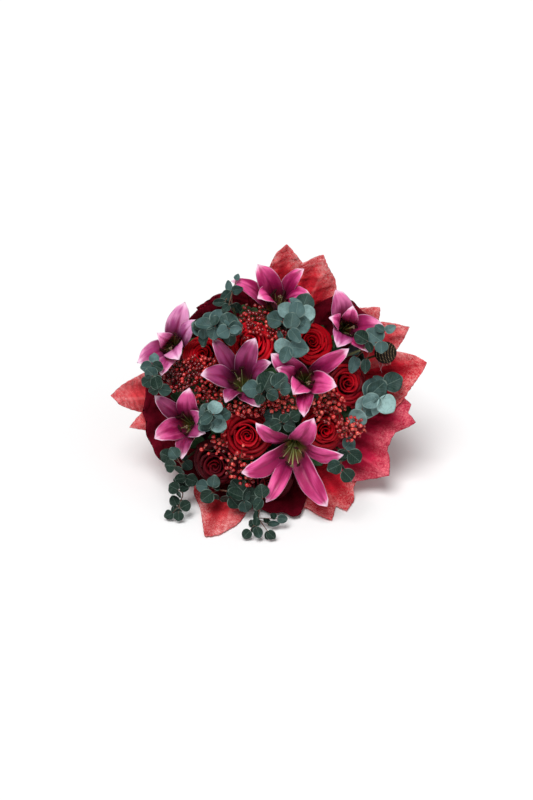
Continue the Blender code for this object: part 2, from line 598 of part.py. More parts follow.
def grow_spray(room, owner, name):
    """Lays a leafy spray's leaves over what is under them, and finds its stem, its run and its twigs."""
    run, leaves = SPRAYS[name]
    draw = np.random.default_rng(owner)
    run_spots = [on_face(*pixel) for pixel in run]
    if len(run) > 1:
        path = np.array([[*spot, resting_height(spot) - 6] for spot in run_spots])
        run_points = along(path, RUN_STEP)
        needs = [room.above(along(pair, 2.0)) + LEAF_LIFT + pair[:, 2].max()
                 for pair in (run_points[i:i + 2] * [1, 1, 0] for i in range(1, len(run_points) - 1))]
        for i, need in enumerate(needs):
            run_points[i + 1:i + 3, 2] = np.maximum(run_points[i + 1:i + 3, 2], need)
        for i in [*range(2, len(run_points)), *range(len(run_points) - 2, 0, -1)]:
            near = [run_points[k, 2] for k in (i - 1, i + 1) if 0 < k < len(run_points)]
            run_points[i, 2] = max(run_points[i, 2], max(near) - RUN_STEP)
        room.mark(along(run_points[1:]), owner)
    laid = []
    for column, row, radius, slope, narrow in leaves:
        spot = on_face(column, row)
        nearest = min(run_spots, key=lambda p: np.hypot(*(p - spot)))
        leaf = make_leaf([*spot, resting_height(spot)], spot - nearest, radius, slope, narrow, draw)
        leaf["middle"][2] += max(room.above(leaf_surface(leaf)) + LEAF_LIFT, 0)
        room.mark(leaf_surface(leaf), owner)
        laid.append(leaf)
    heights = [leaf["middle"][2] for leaf in laid]
    ends = [run_points[1]] if len(run) > 1 else [leaf_root(leaf) for leaf in laid[:6]]
    middle_height = float(np.mean(heights))
    if len(run) > 1:
        middle_height = run_points[1][2]
    head = column_for(room, owner, run_spots[0], middle_height - 6, ends)
    if head is None:
        head = column_for(room, owner, run_spots[0], middle_height - 30, [], 60.0)
    if len(run) > 1:
        run_points[0] = head
        starts = [run_points[:-1] * (1 - share) + run_points[1:] * share for share in (0.14, 0.32, 0.5, 0.68, 0.86)]
        starts = list(np.concatenate(starts))
        room.mark(along(run_points), owner)
    else:
        run_points = None
        starts = list(stem_starts(head, 16))
    room.mark(along(rise_curve(head)), owner)
    twigs = []
    kept = []
    for leaf in laid:
        root = leaf_root(leaf)
        order = sorted(range(len(starts)), key=lambda k: np.linalg.norm(starts[k] - root))[:14]
        end = root + leaf["long"] * 2.5
        chosen = None
        for bend in (None, 9.0, 18.0):
            for k in order:
                way = [starts[k]] if bend is None else [starts[k], (starts[k] + root) / 2 + [0, 0, bend]]
                if room.free(along([*way, root]), owner):
                    chosen = k
                    break
            if chosen is not None:
                break
        if chosen is None:
            continue
        twigs.append(np.array([*way, end]))
        starts.pop(chosen)
        room.mark(along(twigs[-1]), owner)
        kept.append(leaf)
    if len(kept) < len(laid):
        print(name, "leaves left out:", len(laid) - len(kept))
    return {"name": name, "radius": 1.7, "head": head, "run": run_points, "leaves": kept, "twigs": twigs}


def stem_starts(head, count):
    """Places down a stem from which its side stalks leave, STALK_STEP apart."""
    levels = head[2] - 2.0 - STALK_STEP * np.arange(count)
    return np.column_stack([rise(head[:2] * 0.1, head, levels), levels])


def on_path(path, point):
    """The nearest point to a given one on a polyline."""
    best = None
    for a, b in zip(path[:-1], path[1:]):
        share = np.clip(np.dot(point - a, b - a) / np.dot(b - a, b - a), 0, 1)
        near = a + (b - a) * share
        if best is None or np.linalg.norm(near - point) < np.linalg.norm(best - point):
            best = near
    return best


def leaf_root(leaf):
    """Where a leaf's twig meets its rim."""
    return (leaf["middle"] - leaf["long"] * leaf["radius"] * 0.97
            + leaf["normal"] * leaf["radius"] * leaf["cup"] * 0.94)


def grow_berries(room, owner, name):
    """Draws berries in each cluster's ellipse, each kept if it and its stalk are clear of everything."""
    draw = np.random.default_rng(100 + owner)
    knob = np.concatenate([[[0, 0, 0]], np.eye(3), -np.eye(3)]) * BERRY_RADIUS
    stem = None
    berries, stalks, links = [], [], []
    for column, row, half_width, half_height, count in BERRIES[name]:
        spot = on_face(column, row)
        height = dome(spot) - 24
        if stem is None:
            stem = column_for(room, owner, spot, height, [], 34.0)
            room.mark(along(rise_curve(stem)), owner)
            starts = stem_starts(stem, count)
        else:
            sources = np.column_stack([rise(stem[:2] * 0.1, stem, np.linspace(100, stem[2], 12)),
                                       np.linspace(100, stem[2], 12)])
            hub = None
            for ring in np.arange(0, 30, 4.0):
                for turn in np.arange(0, 2 * math.pi, math.pi / 5 if ring else 7):
                    at = np.array([spot[0] + ring * math.cos(turn), spot[1] + ring * math.sin(turn), height - 8])
                    clear = [s for s in sources if room.free(along([s, at]), owner)]
                    if clear:
                        hub = at
                        break
                if hub is not None:
                    break
            if hub is None:
                print(name, "cluster left out at", spot)
                continue
            source = min(clear, key=lambda s: np.linalg.norm(s - hub))
            links.append(np.array([source, hub]))
            room.mark(along(links[-1]), owner)
            back = unit(source - hub) * STALK_STEP * np.minimum(np.arange(count), 4)[:, None]
            starts = hub + unit(source - hub) + back
        found = 0
        ways = []
        for _ in range(1500):
            if found >= count:
                break
            turn, far = draw.uniform(0, 2 * math.pi), math.sqrt(draw.uniform(0, 1))
            at = spot + np.array([half_width * math.cos(turn), half_height * math.sin(turn)]) * far * MM_PER_PIXEL
            at = np.array([*at, dome(at) - 2 + draw.uniform(-12, 7)])
            way = along([starts[found], at])
            own = np.array(berries + [[0, 0, 1e4]])
            if np.min(np.linalg.norm(own - at, axis=1)) < 2 * BERRY_RADIUS + 1.0:
                continue
            if np.min(np.linalg.norm(own[:, None] - way[None], axis=2)) < BERRY_RADIUS + 1.4:
                continue
            if ways and np.min(np.linalg.norm(np.concatenate(ways) - at, axis=1)) < BERRY_RADIUS + 1.4:
                continue
            if not room.free(at + knob, owner) or not room.free(way, owner):
                continue
            ways.append(way[3:])
            berries.append(at)
            stalks.append(np.array([starts[found], at]))
            found += 1
        if found < count:
            print(name, "berries", found, "of", count)
    for at, stalk in zip(berries, stalks):
        room.mark(np.concatenate([at + knob, along(stalk)]), owner)
    return {"name": name, "radius": 1.7, "head": stem, "berries": berries, "stalks": stalks, "links": links}


# Stems

STEM_LEVELS = (STEM_END, 0.0, 20.0, 45.0, 110.0)
STEM_GAP = 0.55
SLOT_SHARE = 0.115          # where the packing of the stems starts, to their heads' distance from the axis
SLOT_PULL = 0.012           # how strongly the packing draws the stems together at each step
STEM_REST = 0.1             # from the surface to the lowest stems
MARCH = 5.0                 # step in height at which the stems are parted
LILY_STEM = 3.0
ROSE_STEM = 2.5


def stem_at(stem, level):
    """Place of a stem at a height: straight to its end below the tie, above it through its knots."""
    if level < 0:
        return stem["slot"] + (stem["end"] - stem["slot"]) * level / STEM_END
    return np.array([np.interp(level, stem["levels"], stem["places"][:, i]) for i in (0, 1)])


def stem_end(stem):
    """Where a stem is cut: below the tie all turn and spread alike, and the lowest rest on the surface."""
    turn = math.radians(STEM_TWIST)
    x, y = stem["slot"] * STEM_SPREAD
    end = np.array([x * math.cos(turn) - y * math.sin(turn), x * math.sin(turn) + y * math.cos(turn)])
    below = stem["radius"] + STEM_REST - floor_height([*end, STEM_END])
    return end + [0, max(below, 0) / math.cos(math.radians(LEAN))]


def push_apart(places, wanted):
    """Moves each pair of places that are nearer than wanted half the way apart."""
    away = places[:, None] - places[None]
    gap = np.linalg.norm(away, axis=2) + np.eye(len(places)) * 1e6
    short = np.maximum(wanted - gap, 0)
    return places + (away / gap[..., None] * (short / 2)[..., None]).sum(axis=1)


def pack_stems(stems):
    """Packs the stems at the tie and parts them at each height above it.

    The first packing follows the heads. Each later one follows the stems' own places at the first
    level over the tie, so that no two stems cross on the way.
    """
    radii = np.array([stem["radius"] for stem in stems])
    heads = np.array([stem["head"] for stem in stems])
    wanted = (radii[:, None] + radii[None] + STEM_GAP) * (1 - np.eye(len(stems)))
    slots = heads[:, :2] * SLOT_SHARE
    for _ in range(4):
        for turn in range(700):
            slots = push_apart(slots * (1 - (SLOT_PULL if turn < 500 else 0.0)), wanted)
        for stem, slot in zip(stems, slots):
            stem["slot"] = slot
            stem["end"] = stem_end(stem)
            stem["levels"] = [level for level in STEM_LEVELS if 0 <= level < stem["head"][2] - 9]
            stem["levels"].append(stem["head"][2])
            stem["places"] = np.array([rise(slot, stem["head"], level) for level in stem["levels"]])
        march(stems, wanted)
        slots = np.array([stem["places"][2] for stem in stems]) * 0.5


def march(stems, wanted):
    """Carries the stems up from the tie in small steps, parting them at each."""
    places = np.array([stem["slot"] for stem in stems])
    for level in np.arange(MARCH, STEM_LEVELS[-1] + 1, MARCH):
        there = [i for i, stem in enumerate(stems) if level < stem["head"][2] - 9]
        aim = np.array([rise(stem["slot"], stem["head"], level) for stem in stems])
        places += aim - np.array([rise(stem["slot"], stem["head"], level - MARCH) for stem in stems])
        for turn in range(60):
            pull = 0.06 if turn < 40 else 0.0
            places[there] = push_apart(places[there] + (aim - places)[there] * pull, wanted[np.ix_(there, there)])
        for i in there:
            if level in stems[i]["levels"]:
                stems[i]["places"][stems[i]["levels"].index(level)] = places[i]


def stem_path(stem, to_head=True):
    """A stem's points from its cut end to its head."""
    points = [[*stem_at(stem, level), level] for level in STEM_LEVELS if level < 0]
    points += [[*place, level] for place, level in zip(stem["places"], stem["levels"])]
    return np.array(points if to_head else points[:-1])


def arrange():
    """Places every piece of the bouquet."""
    room = Room()
    stems = []
    for name in LILIES:
        foot, _, axis = lily_frame(name)
        for surface in lily_tepals(name, 44, 12) + [finer(grid) for grid in lily_tepals(name, *TEPAL_CELLS)]:
            room.mark(surface, -1)
        for curve in lily_filaments(name, 26):
            room.mark(curve, -1)
        stems.append({"name": name, "radius": LILY_STEM, "head": foot - axis * 6})
    for name in ROSES:
        foot, axis, radius = rose_frame(name)
        for layer in range(len(PETALS)):
            for place in range(PETALS[layer][0]):
                room.mark(petal_surface(foot, axis, radius, layer, place, 24, 20), -1)
                room.mark(finer(petal_surface(foot, axis, radius, layer, place, *PETAL_CELLS)), -1)
        stems.append({"name": name, "radius": ROSE_STEM, "head": foot - axis * 11})
    for stem in stems:
        room.mark(rise_curve(stem["head"]), -1)
    paper = sheet_surface(PAPER_ROOM, collar_offset, np.full(len(CREASES), WAIST + 4), None, COLLAR_SNAP)
    room.mark(finer(paper[2:], 60, 14), -1)
    (u, v), size = SEED_HEAD
    seed_height = max(dome((u, v)), paper_height(math.hypot(u, v)) + 24)
    seed = {"name": "seed_head", "radius": 1.7, "head": np.array([u, v, seed_height - 9])}
    disc = make_leaf([u, v, seed_height], (1, 0), size + 2, 0, 1, np.random.default_rng(0))
    room.mark(np.concatenate([leaf_surface(disc, 9, 40), leaf_surface(disc, 9, 40) - [0, 0, 9]]), -1)
    room.mark(rise_curve(seed["head"]), -1)
    sprays = [grow_spray(room, 10 + k, name) for k, name in enumerate(SPRAYS)]
    berries = [grow_berries(room, 40 + k, name) for k, name in enumerate(BERRIES)]
    stems += [seed, *sprays, *berries]
    pack_stems(stems)
    waists = np.array([waist_reach(stems, degrees) for degrees in np.arange(0, 360, FOLD_STEP)])
    return stems, waists + TWINE_GAP + TWINE_THICK + PAPER_GAP + PAPER_THICK / 2, sprays, berries, seed


# Solids

def facing_out(points, faces):
    """The faces, turned round if the solid they enclose is inside out."""
    triangles = [(f[0], f[k], f[k + 1]) for f in faces for k in range(1, len(f) - 1)]
    a, b, c = np.asarray(points)[np.array(triangles)].transpose(1, 0, 2)
    return faces if np.sum(np.cross(a, b) * c) > 0 else [f[::-1] for f in faces]


def grid_normals(grid):
    """Unit normals of a grid of points."""
    return unit(np.cross(np.gradient(grid, axis=0), np.gradient(grid, axis=1)))


def split(a, b, c, d, flip):
    """The two triangles of a quad, both ways round alike."""
    return [(a, b, c), (a, c, d)] if not flip else [(c, b, a), (d, c, a)]


def blade(grid, thick):
    """A petal's solid: two faces that are thick apart inside and meet in a sharp edge all round."""
    rows, columns = grid.shape[0] - 1, grid.shape[1] - 1
    normal = grid_normals(grid)
    inside = np.zeros(grid.shape[:2])
    inside[1:-1, 1:-1] = thick / 2
    upper = grid + normal * inside[..., None]
    lower = grid - normal * inside[..., None]
    over = np.arange(grid.shape[0] * grid.shape[1]).reshape(grid.shape[:2])
    under = over.copy()
    under[1:-1, 1:-1] = over.size + np.arange((rows - 1) * (columns - 1)).reshape(rows - 1, columns - 1)
    faces = []
    for index, flip in ((over, False), (under, True)):
        for i in range(rows):
            for j in range(columns):
                faces += split(index[i, j], index[i + 1, j], index[i + 1, j + 1], index[i, j + 1], flip)
    return np.concatenate([upper.reshape(-1, 3), lower[1:-1, 1:-1].reshape(-1, 3)]), faces


def slab(grid, thick, ring=False):
    """A sheet's solid of even thickness, open at its sides unless it runs round in a ring."""
    rows, columns = grid.shape[:2]
    normal = grid_normals(np.concatenate([grid[:, -2:-1], grid, grid[:, 1:2]], axis=1))[:, 1:-1] if ring \
        else grid_normals(grid)
    points = np.concatenate([(grid + normal * thick / 2).reshape(-1, 3), (grid - normal * thick / 2).reshape(-1, 3)])
    if ring:
        columns -= 1
    over = np.arange(rows * grid.shape[1]).reshape(rows, -1)[:, :columns]
    if ring:
        over = np.column_stack([over, over[:, 0]])
    under = over + rows * grid.shape[1]
    faces = []
    for i in range(rows - 1):
        for j in range(over.shape[1] - 1):
            faces += split(over[i, j], over[i + 1, j], over[i + 1, j + 1], over[i, j + 1], False)
            faces += split(under[i, j], under[i + 1, j], under[i + 1, j + 1], under[i, j + 1], True)
    for j in range(over.shape[1] - 1):
        faces += split(over[0, j + 1], under[0, j + 1], under[0, j], over[0, j], False)
        faces += split(over[-1, j], under[-1, j], under[-1, j + 1], over[-1, j + 1], False)
    if not ring:
        for i in range(rows - 1):
            faces += split(over[i, 0], under[i, 0], under[i + 1, 0], over[i + 1, 0], False)
            faces += split(over[i + 1, -1], under[i + 1, -1], under[i, -1], over[i, -1], False)
    return points, faces


def tube(points, radii, sides):
    """A round bar through the points, with its own radius at each, and flat ends."""
    points = np.asarray(points, float)
    tangent = unit(np.gradient(points, axis=0))
    side = unit(np.cross(tangent, unit(np.array([0.31, 0.87, 0.39]))))
    for i in range(1, len(points)):
        side[i] = unit(side[i - 1] - tangent[i] * np.dot(side[i - 1], tangent[i]))
    other = np.cross(tangent, side)
    turn = np.arange(sides) * 2 * math.pi / sides
    radii = np.broadcast_to(radii, len(points))[:, None, None]
    rings = points[:, None] + radii * (side[:, None] * np.cos(turn)[None, :, None]
                                       + other[:, None] * np.sin(turn)[None, :, None])
    faces = []
    for i in range(len(points) - 1):
        for j in range(sides):
            k = (j + 1) % sides
            a, b, c, d = i * sides + j, i * sides + k, (i + 1) * sides + k, (i + 1) * sides + j
            faces.append((a, b, c, d))
    faces.append(tuple(range(sides))[::-1])
    faces.append(tuple(range((len(points) - 1) * sides, len(points) * sides)))
    return rings.reshape(-1, 3), faces


def turned(foot, axis, profile, sides):
    """A turned solid from its profile of radius and height."""
    across = unit(np.cross([0.0, 1.0, 0.0], axis))
    up = np.cross(axis, across)
    turn = np.arange(sides) * 2 * math.pi / sides
    points, faces, start = [], [], []
    for radius, height in profile:
        start.append(len(points))
        if radius == 0:
            points.append(foot + axis * height)
            continue
        points += list(foot + axis * height + radius * (across * np.cos(turn)[:, None]
                                                        + up * np.sin(turn)[:, None]))
    for i in range(len(profile) - 1):
        for j in range(sides):
            k = (j + 1) % sides
            a, b = start[i], start[i + 1]
            if profile[i][0] == 0:
                faces.append((a, b + k, b + j))
            elif profile[i + 1][0] == 0:
                faces.append((a + j, a + k, b))
            else:
                faces.append((a + j, a + k, b + k, b + j))
    return np.array(points), faces


def washer(foot, axis, inner, outer, low, high, sides):
    """A ring of square section round an axis."""
    profile = [(inner, low), (outer, low), (outer, high), (inner, high), (inner, low)]
    points, faces = turned(foot, axis, profile, sides)
    last = 4 * sides
    return points[:last], [tuple(int(n) % last for n in face) for face in faces]


def leaf_solids(leaf, twig, around=8):
    """A leaf and its twig: a rim with a point over and under its middle, and a three-sided bar to it.

    A twig that comes from under the leaf is a bar of its own.
    """
    rim = leaf_surface(leaf, 1, around)[1:]
    half = leaf["normal"] * LEAF_THICK / 2
    base = leaf_root(leaf)
    toward = unit(base - twig[-2])
    if np.dot(toward, leaf["long"]) < 0.45:
        faces = []
        for j in range(around):
            k = (j + 1) % around
            faces += [(j, k, around), (k, j, around + 1)]
        return [(np.array([*rim, leaf["middle"] + half, leaf["middle"] - half]), faces),
                tube(twig, TWIG_RADIUS * 0.9, 3)]
    rim = np.roll(rim, -around // 2 - 1, axis=0)[:-1]
    rings = []
    for k, point in enumerate(twig[:-1]):
        run = unit((twig[k + 1] if k + 2 < len(twig) else base) - point)
        wide = unit(leaf["side"] - run * np.dot(leaf["side"], run)) * TWIG_RADIUS
        deep = np.cross(run, wide)
        rings.append([point + wide * 0.9 + deep * 0.5, point - wide * 0.9 + deep * 0.5, point - deep])
    wide = leaf["side"] * TWIG_RADIUS
    deep = leaf["normal"] * TWIG_RADIUS
    rings.append([base + wide * 1.2 + deep * 0.4, base - wide * 1.2 + deep * 0.4, base - deep])
    points = [*rim, leaf["middle"] + half, leaf["middle"] - half, *np.concatenate(rings)]
    upper, lower = len(rim), len(rim) + 1
    start = len(rim) + 2
    left, right, under = (start + 3 * (len(rings) - 1) + k for k in range(3))
    ring = [right, *range(len(rim)), left]
    faces = [(ring[j], ring[j + 1], upper) for j in range(len(ring) - 1)] + [(left, right, upper)]
    ring.append(under)
    faces += [(ring[(j + 1) % len(ring)], ring[j], lower) for j in range(len(ring))]
    for i in range(len(rings) - 1):
        for j in range(3):
            a, b = start + 3 * i + j, start + 3 * i + (j + 1) % 3
            faces += [(a, b, b + 3), (a, b + 3, a + 3)]
    faces.append((start + 2, start + 1, start))
    return [(np.array(points), faces)]


def stalked_ball(start, middle, radius):
    """A berry on its stalk: an icosahedron with one face drawn out to the hub."""
    points, faces = ball(middle, radius)
    toward = unit(start - middle)
    centres = np.array([points[list(face)].mean(axis=0) for face in faces]) - middle
    facing = int(np.argmax(centres @ toward))
    root = faces.pop(facing)
    neck = unit(centres[facing])
    spread = points[list(root)] - middle - np.outer((points[list(root)] - middle) @ neck, neck)
    ends = start + spread / np.linalg.norm(spread, axis=1, keepdims=True) * STALK_RADIUS * 0.8
    first = len(points)
    for j in range(3):
        a, b = root[j], root[(j + 1) % 3]
        faces += [(a, b, first + (j + 1) % 3), (a, first + (j + 1) % 3, first + j)]
    faces.append((first, first + 1, first + 2))
    return np.concatenate([points, ends]), [tuple(face) for face in faces]


def ball(middle, radius):
    """A berry: an icosahedron."""
    golden = (1 + math.sqrt(5)) / 2
    corners = np.array([(s, t * golden, 0) for s in (-1, 1) for t in (-1, 1)])
    corners = unit(np.concatenate([corners, np.roll(corners, 1, axis=1), np.roll(corners, 2, axis=1)]))
    gaps = np.linalg.norm(corners[:, None] - corners[None], axis=2)
    near = (gaps < 1.2) & (gaps > 0.1)
    faces = []
    for a in range(12):
        for b in range(a + 1, 12):
            for c in range(b + 1, 12):
                if near[a, b] and near[b, c] and near[a, c]:
                    out = np.dot(np.cross(corners[b] - corners[a], corners[c] - corners[a]), corners[a]) > 0
                    faces.append((a, b, c) if out else (a, c, b))
    return middle + corners * radius, faces


def finish_of(name, colour, roughness):
    """A plain material, made once for each name."""
    material = bpy.data.materials.get(name) or bpy.data.materials.new(name)
    material.use_nodes = True
    shader = material.node_tree.nodes["Principled BSDF"]
    shader.inputs["Base Color"].default_value = (*colour, 1.0)
    shader.inputs["Roughness"].default_value = roughness
    shader.inputs["Metallic"].default_value = 0.0
    return material


def add_object(name, solid, finish):
    """An object of one solid, turned into the world and into metres."""
    points, faces = solid
    faces = [tuple(int(n) for n in face) for face in facing_out(points, faces)]
    mesh = bpy.data.meshes.new(name)
    mesh.from_pydata((to_world(points) / 1000).tolist(), [], faces)
    mesh.materials.append(finish)
    item = bpy.data.objects.new(name, mesh)
    bpy.context.scene.collection.objects.link(item)
    return item


def fuse(name, solids, finish):
    """One object of all the solids, joined by one Boolean union on a collection.

    The slivers that the union leaves along its seams are then collapsed.
    """
    base = add_object(name, solids[0], finish)
    if len(solids) == 1:
        return base
    others = bpy.data.collections.new(name + "_repeats")
    bpy.context.scene.collection.children.link(others)
    for number, solid in enumerate(solids[1:]):
        item = add_object(f"{name}_{number}", solid, finish)
        bpy.context.scene.collection.objects.unlink(item)
        others.objects.link(item)
    union = base.modifiers.new("union", "BOOLEAN")
    union.operation = "UNION"
    union.operand_type = "COLLECTION"
    union.collection = others
    union.solver = "MANIFOLD"
    thinner = base.modifiers.new("thinner", "DECIMATE")
    for share in (SEAM_SHARE, 0.9, 1.0):
        thinner.ratio = share
        bpy.context.view_layer.update()
        joined = bpy.data.meshes.new_from_object(base.evaluated_get(bpy.context.evaluated_depsgraph_get()))
        shell = bmesh.new()
        shell.from_mesh(joined)
        bmesh.ops.triangulate(shell, faces=shell.faces, quad_method="BEAUTY", ngon_method="BEAUTY")
        closed = all(edge.is_manifold for edge in shell.edges)
        shell.to_mesh(joined)
        shell.free()
        if closed:
            break
    base.modifiers.clear()
    base.data = joined
    for item in list(others.objects):
        bpy.data.objects.remove(item)
    bpy.data.collections.remove(others)
    return base


def keep_largest(item):
    """Drops the scraps that a union leaves loose."""
    mesh = item.data
    group = np.arange(len(mesh.vertices))
    ends = np.array([edge.vertices[:] for edge in mesh.edges])
    for _ in range(200):
        low = np.minimum(group[ends[:, 0]], group[ends[:, 1]])
        before = group.copy()
        np.minimum.at(group, ends[:, 0], low)
        np.minimum.at(group, ends[:, 1], low)
        if (before == group).all():
            break
    names, counts = np.unique(group, return_counts=True)
    if len(names) > 1:
        print(item.name, "loose pieces", sorted(counts))
        main = names[counts.argmax()]
        loose = [mesh.vertices[int(k)] for k in np.flatnonzero(group != main)]
        shell = bmesh.new()
        shell.from_mesh(mesh)
        shell.verts.ensure_lookup_table()
        bmesh.ops.delete(shell, geom=[shell.verts[v.index] for v in loose], context="VERTS")
        shell.to_mesh(mesh)
        shell.free()


def make_lily(name, stem, pink, green):
    """A lily: its six tepals on their ring, and its stem with receptacle, stamens and pistil."""
    foot, _, axis = lily_frame(name)
    tepals = [blade(grid, PETAL_THICK) for grid in lily_tepals(name, *TEPAL_CELLS)]
    fuse(name, [washer(foot, axis, 3.35, 6.8, -3, 3, 6), *tepals], pink)
    path = np.concatenate([stem_path(stem), [foot - axis * 4.0, foot + axis * 4.5]])
    radii = np.concatenate([np.full(len(path) - 2, LILY_STEM), [RECEPTACLE, RECEPTACLE]])
    solids = [tube(path, radii, 6)]
    *filaments, style = lily_filaments(name, 7)
    solids += [tube(curve[[0, 4, 6]], [0.8, 0.7, 1.5], 3) for curve in filaments]
    solids.append(tube(style[[0, 3, 6]], [1.2, 1.1, 1.7], 3))
    fuse(name + "_stem", solids, green)


def make_rose(name, stem, red, green):
    """A rose: its petals in layers round a core, and its stem with hip and sepals."""
    foot, axis, radius = rose_frame(name)
    core = turned(foot, axis, [(0, -0.6), (6.5, -0.6), (ROSE_CORE * radius, 0.6 * radius),
                               (ROSE_CORE * radius * 0.95, 1.35 * radius), (0.16 * radius, 1.52 * radius),
                               (0, 1.40 * radius)], 7)
    petals = [blade(petal_surface(foot, axis, radius, layer, place, *PETAL_CELLS), PETAL_THICK)
              for layer in range(len(PETALS)) for place in range(PETALS[layer][0])]
    fuse(name, [core, *petals], red)
    path = np.concatenate([stem_path(stem), [foot - axis * 5, foot - axis * 1.0]])
    radii = [ROSE_STEM] * (len(path) - 2) + [4.8, 4.4]
    fuse(name + "_stem", [tube(path, radii, 6)], green)


def make_spray(spray, finish):
    """A leafy spray: stem, run, twigs and leaves."""
    path = stem_path(spray)
    solids = [tube(path, spray["radius"], 5)]
    if spray["run"] is not None:
        solids.append(tube(spray["run"], np.linspace(1.6, 1.2, len(spray["run"])), 3))
    for leaf, twig in zip(spray["leaves"], spray["twigs"]):
        if spray["run"] is None:
            twig[0] = on_path(path, twig[0])
        solids += leaf_solids(leaf, twig)
    keep_largest(fuse(spray["name"], solids, finish))


def make_berries(spray, finish):
    """A spray of berries: stem, links, stalks and berries."""
    path = stem_path(spray)
    solids = [tube(path, spray["radius"], 5)]
    for source, hub in spray["links"]:
        solids.append(tube([on_path(path, source), hub], 1.3, 4))
    for start, middle in spray["stalks"]:
        if not spray["links"] or np.linalg.norm(on_path(path, start) - start) < 3:
            start = on_path(path, start)
        solids.append(stalked_ball(start, middle, BERRY_RADIUS))
    keep_largest(fuse(spray["name"], solids, finish))


def make_seed_head(seed, finish):
    """The dark seed head: a flat ribbed dome on its stem."""
    profile = [(0, -3), (2.4, -2), (12, 2), (16.5, 10), (13, 15.5), (0, 18)]
    head = turned(seed["head"], np.array([0.0, 0.0, 1.0]), profile, 14)
    fuse("seed_head", [tube(stem_path(seed), seed["radius"], 5), head], finish)


def make_wrap(stems, waists, bright, dark, twine, ribbon):
    """The tie, the dark collar, the bright sheets and the ribbon, each round the last."""
    around = np.arange(0, 361, RING_STEP)
    rise_of_tie = TWINE_HEIGHT / 2
    rings = []
    for level in (-rise_of_tie, rise_of_tie):
        ring = []
        for degrees in around:
            turn = math.radians(degrees)
            out = waist_reach(stems, degrees) + TWINE_GAP + TWINE_THICK / 2
            ring.append([out * math.cos(turn), out * math.sin(turn), level])
        rings.append(ring)
    add_object("twine", slab(np.array(rings), TWINE_THICK, ring=True), twine)
    collar = sheet_surface(COLLAR, collar_offset, waists, None, COLLAR_SNAP)
    add_object("paper_collar", slab(collar, PAPER_THICK), dark)
    for name, outline in SHEETS.items():
        sheet = sheet_surface(outline, sheet_offset, waists, name)
        add_object(name, slab(sheet, PAPER_THICK), bright)
    band = [[paper_point(waists, degrees, length, RIBBON_OFFSET + swell) for degrees in around]
            for length, swell in ((-RIBBON_HEIGHT / 2, 0.0), (0.0, 0.0), (RIBBON_HEIGHT / 2, 0.4))]
    add_object("ribbon", slab(np.array(band), RIBBON_THICK, ring=True), ribbon)


def waist_reach(stems, degrees):
    """How far the stems reach over the height of the tie."""
    return max(support(stems, math.radians(degrees), level) for level in (-TWINE_HEIGHT / 2, TWINE_HEIGHT / 2))


def main():
    for item in list(bpy.data.objects):
        bpy.data.objects.remove(item)
    pink = finish_of("lily_pink", (0.62, 0.06, 0.26), 0.45)
    red = finish_of("rose_red", (0.33, 0.003, 0.012), 0.55)
    green = finish_of("stem_green", (0.10, 0.20, 0.06), 0.5)
    leaf_green = finish_of("eucalyptus_green", (0.07, 0.16, 0.14), 0.6)
    berry_red = finish_of("berry_red", (0.45, 0.03, 0.02), 0.35)
    brown = finish_of("seed_brown", (0.05, 0.02, 0.01), 0.7)
    bright = finish_of("paper_red", (0.62, 0.02, 0.04), 0.8)
    dark = finish_of("paper_crimson", (0.16, 0.004, 0.012), 0.8)
    cord = finish_of("twine_brown", (0.35, 0.24, 0.12), 0.9)
    satin = finish_of("ribbon_red", (0.45, 0.01, 0.03), 0.4)
    stems, waists, sprays, berries, seed = arrange()
    by_name = {stem["name"]: stem for stem in stems}
    for name in LILIES:
        make_lily(name, by_name[name], pink, green)
    for name in ROSES:
        make_rose(name, by_name[name], red, green)
    for spray in sprays:
        make_spray(spray, leaf_green)
    for spray in berries:
        make_berries(spray, berry_red)
    make_seed_head(seed, brown)
    make_wrap(stems, waists, bright, dark, cord, satin)
    bpy.context.view_layer.update()


main()
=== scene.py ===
"""Hand-tied round bouquet in a paper wrap, dressed for rendering.

The pieces are laid out in the bouquet's own frame, in millimetres, in the same way as its solids: u
runs to the right and v up across its face, and w along its axis from the tie to the flowers.
"""
from math import cos, hypot, pi, radians, sin, sqrt, tan

import bpy
import numpy as np
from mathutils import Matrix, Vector
from numpy.linalg import norm


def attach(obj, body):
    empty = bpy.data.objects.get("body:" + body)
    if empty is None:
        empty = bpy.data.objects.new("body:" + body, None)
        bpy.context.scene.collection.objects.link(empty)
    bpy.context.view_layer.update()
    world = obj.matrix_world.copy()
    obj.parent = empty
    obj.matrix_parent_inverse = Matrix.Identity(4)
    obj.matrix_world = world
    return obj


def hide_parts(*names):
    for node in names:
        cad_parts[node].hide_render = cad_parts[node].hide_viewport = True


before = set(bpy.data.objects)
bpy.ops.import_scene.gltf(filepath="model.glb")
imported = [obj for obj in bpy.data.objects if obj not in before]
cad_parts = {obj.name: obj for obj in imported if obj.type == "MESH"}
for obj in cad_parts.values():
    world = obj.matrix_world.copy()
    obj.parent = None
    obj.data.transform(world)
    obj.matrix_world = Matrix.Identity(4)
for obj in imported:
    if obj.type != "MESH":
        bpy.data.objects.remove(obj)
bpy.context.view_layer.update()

# Driving dimensions, in millimetres and degrees

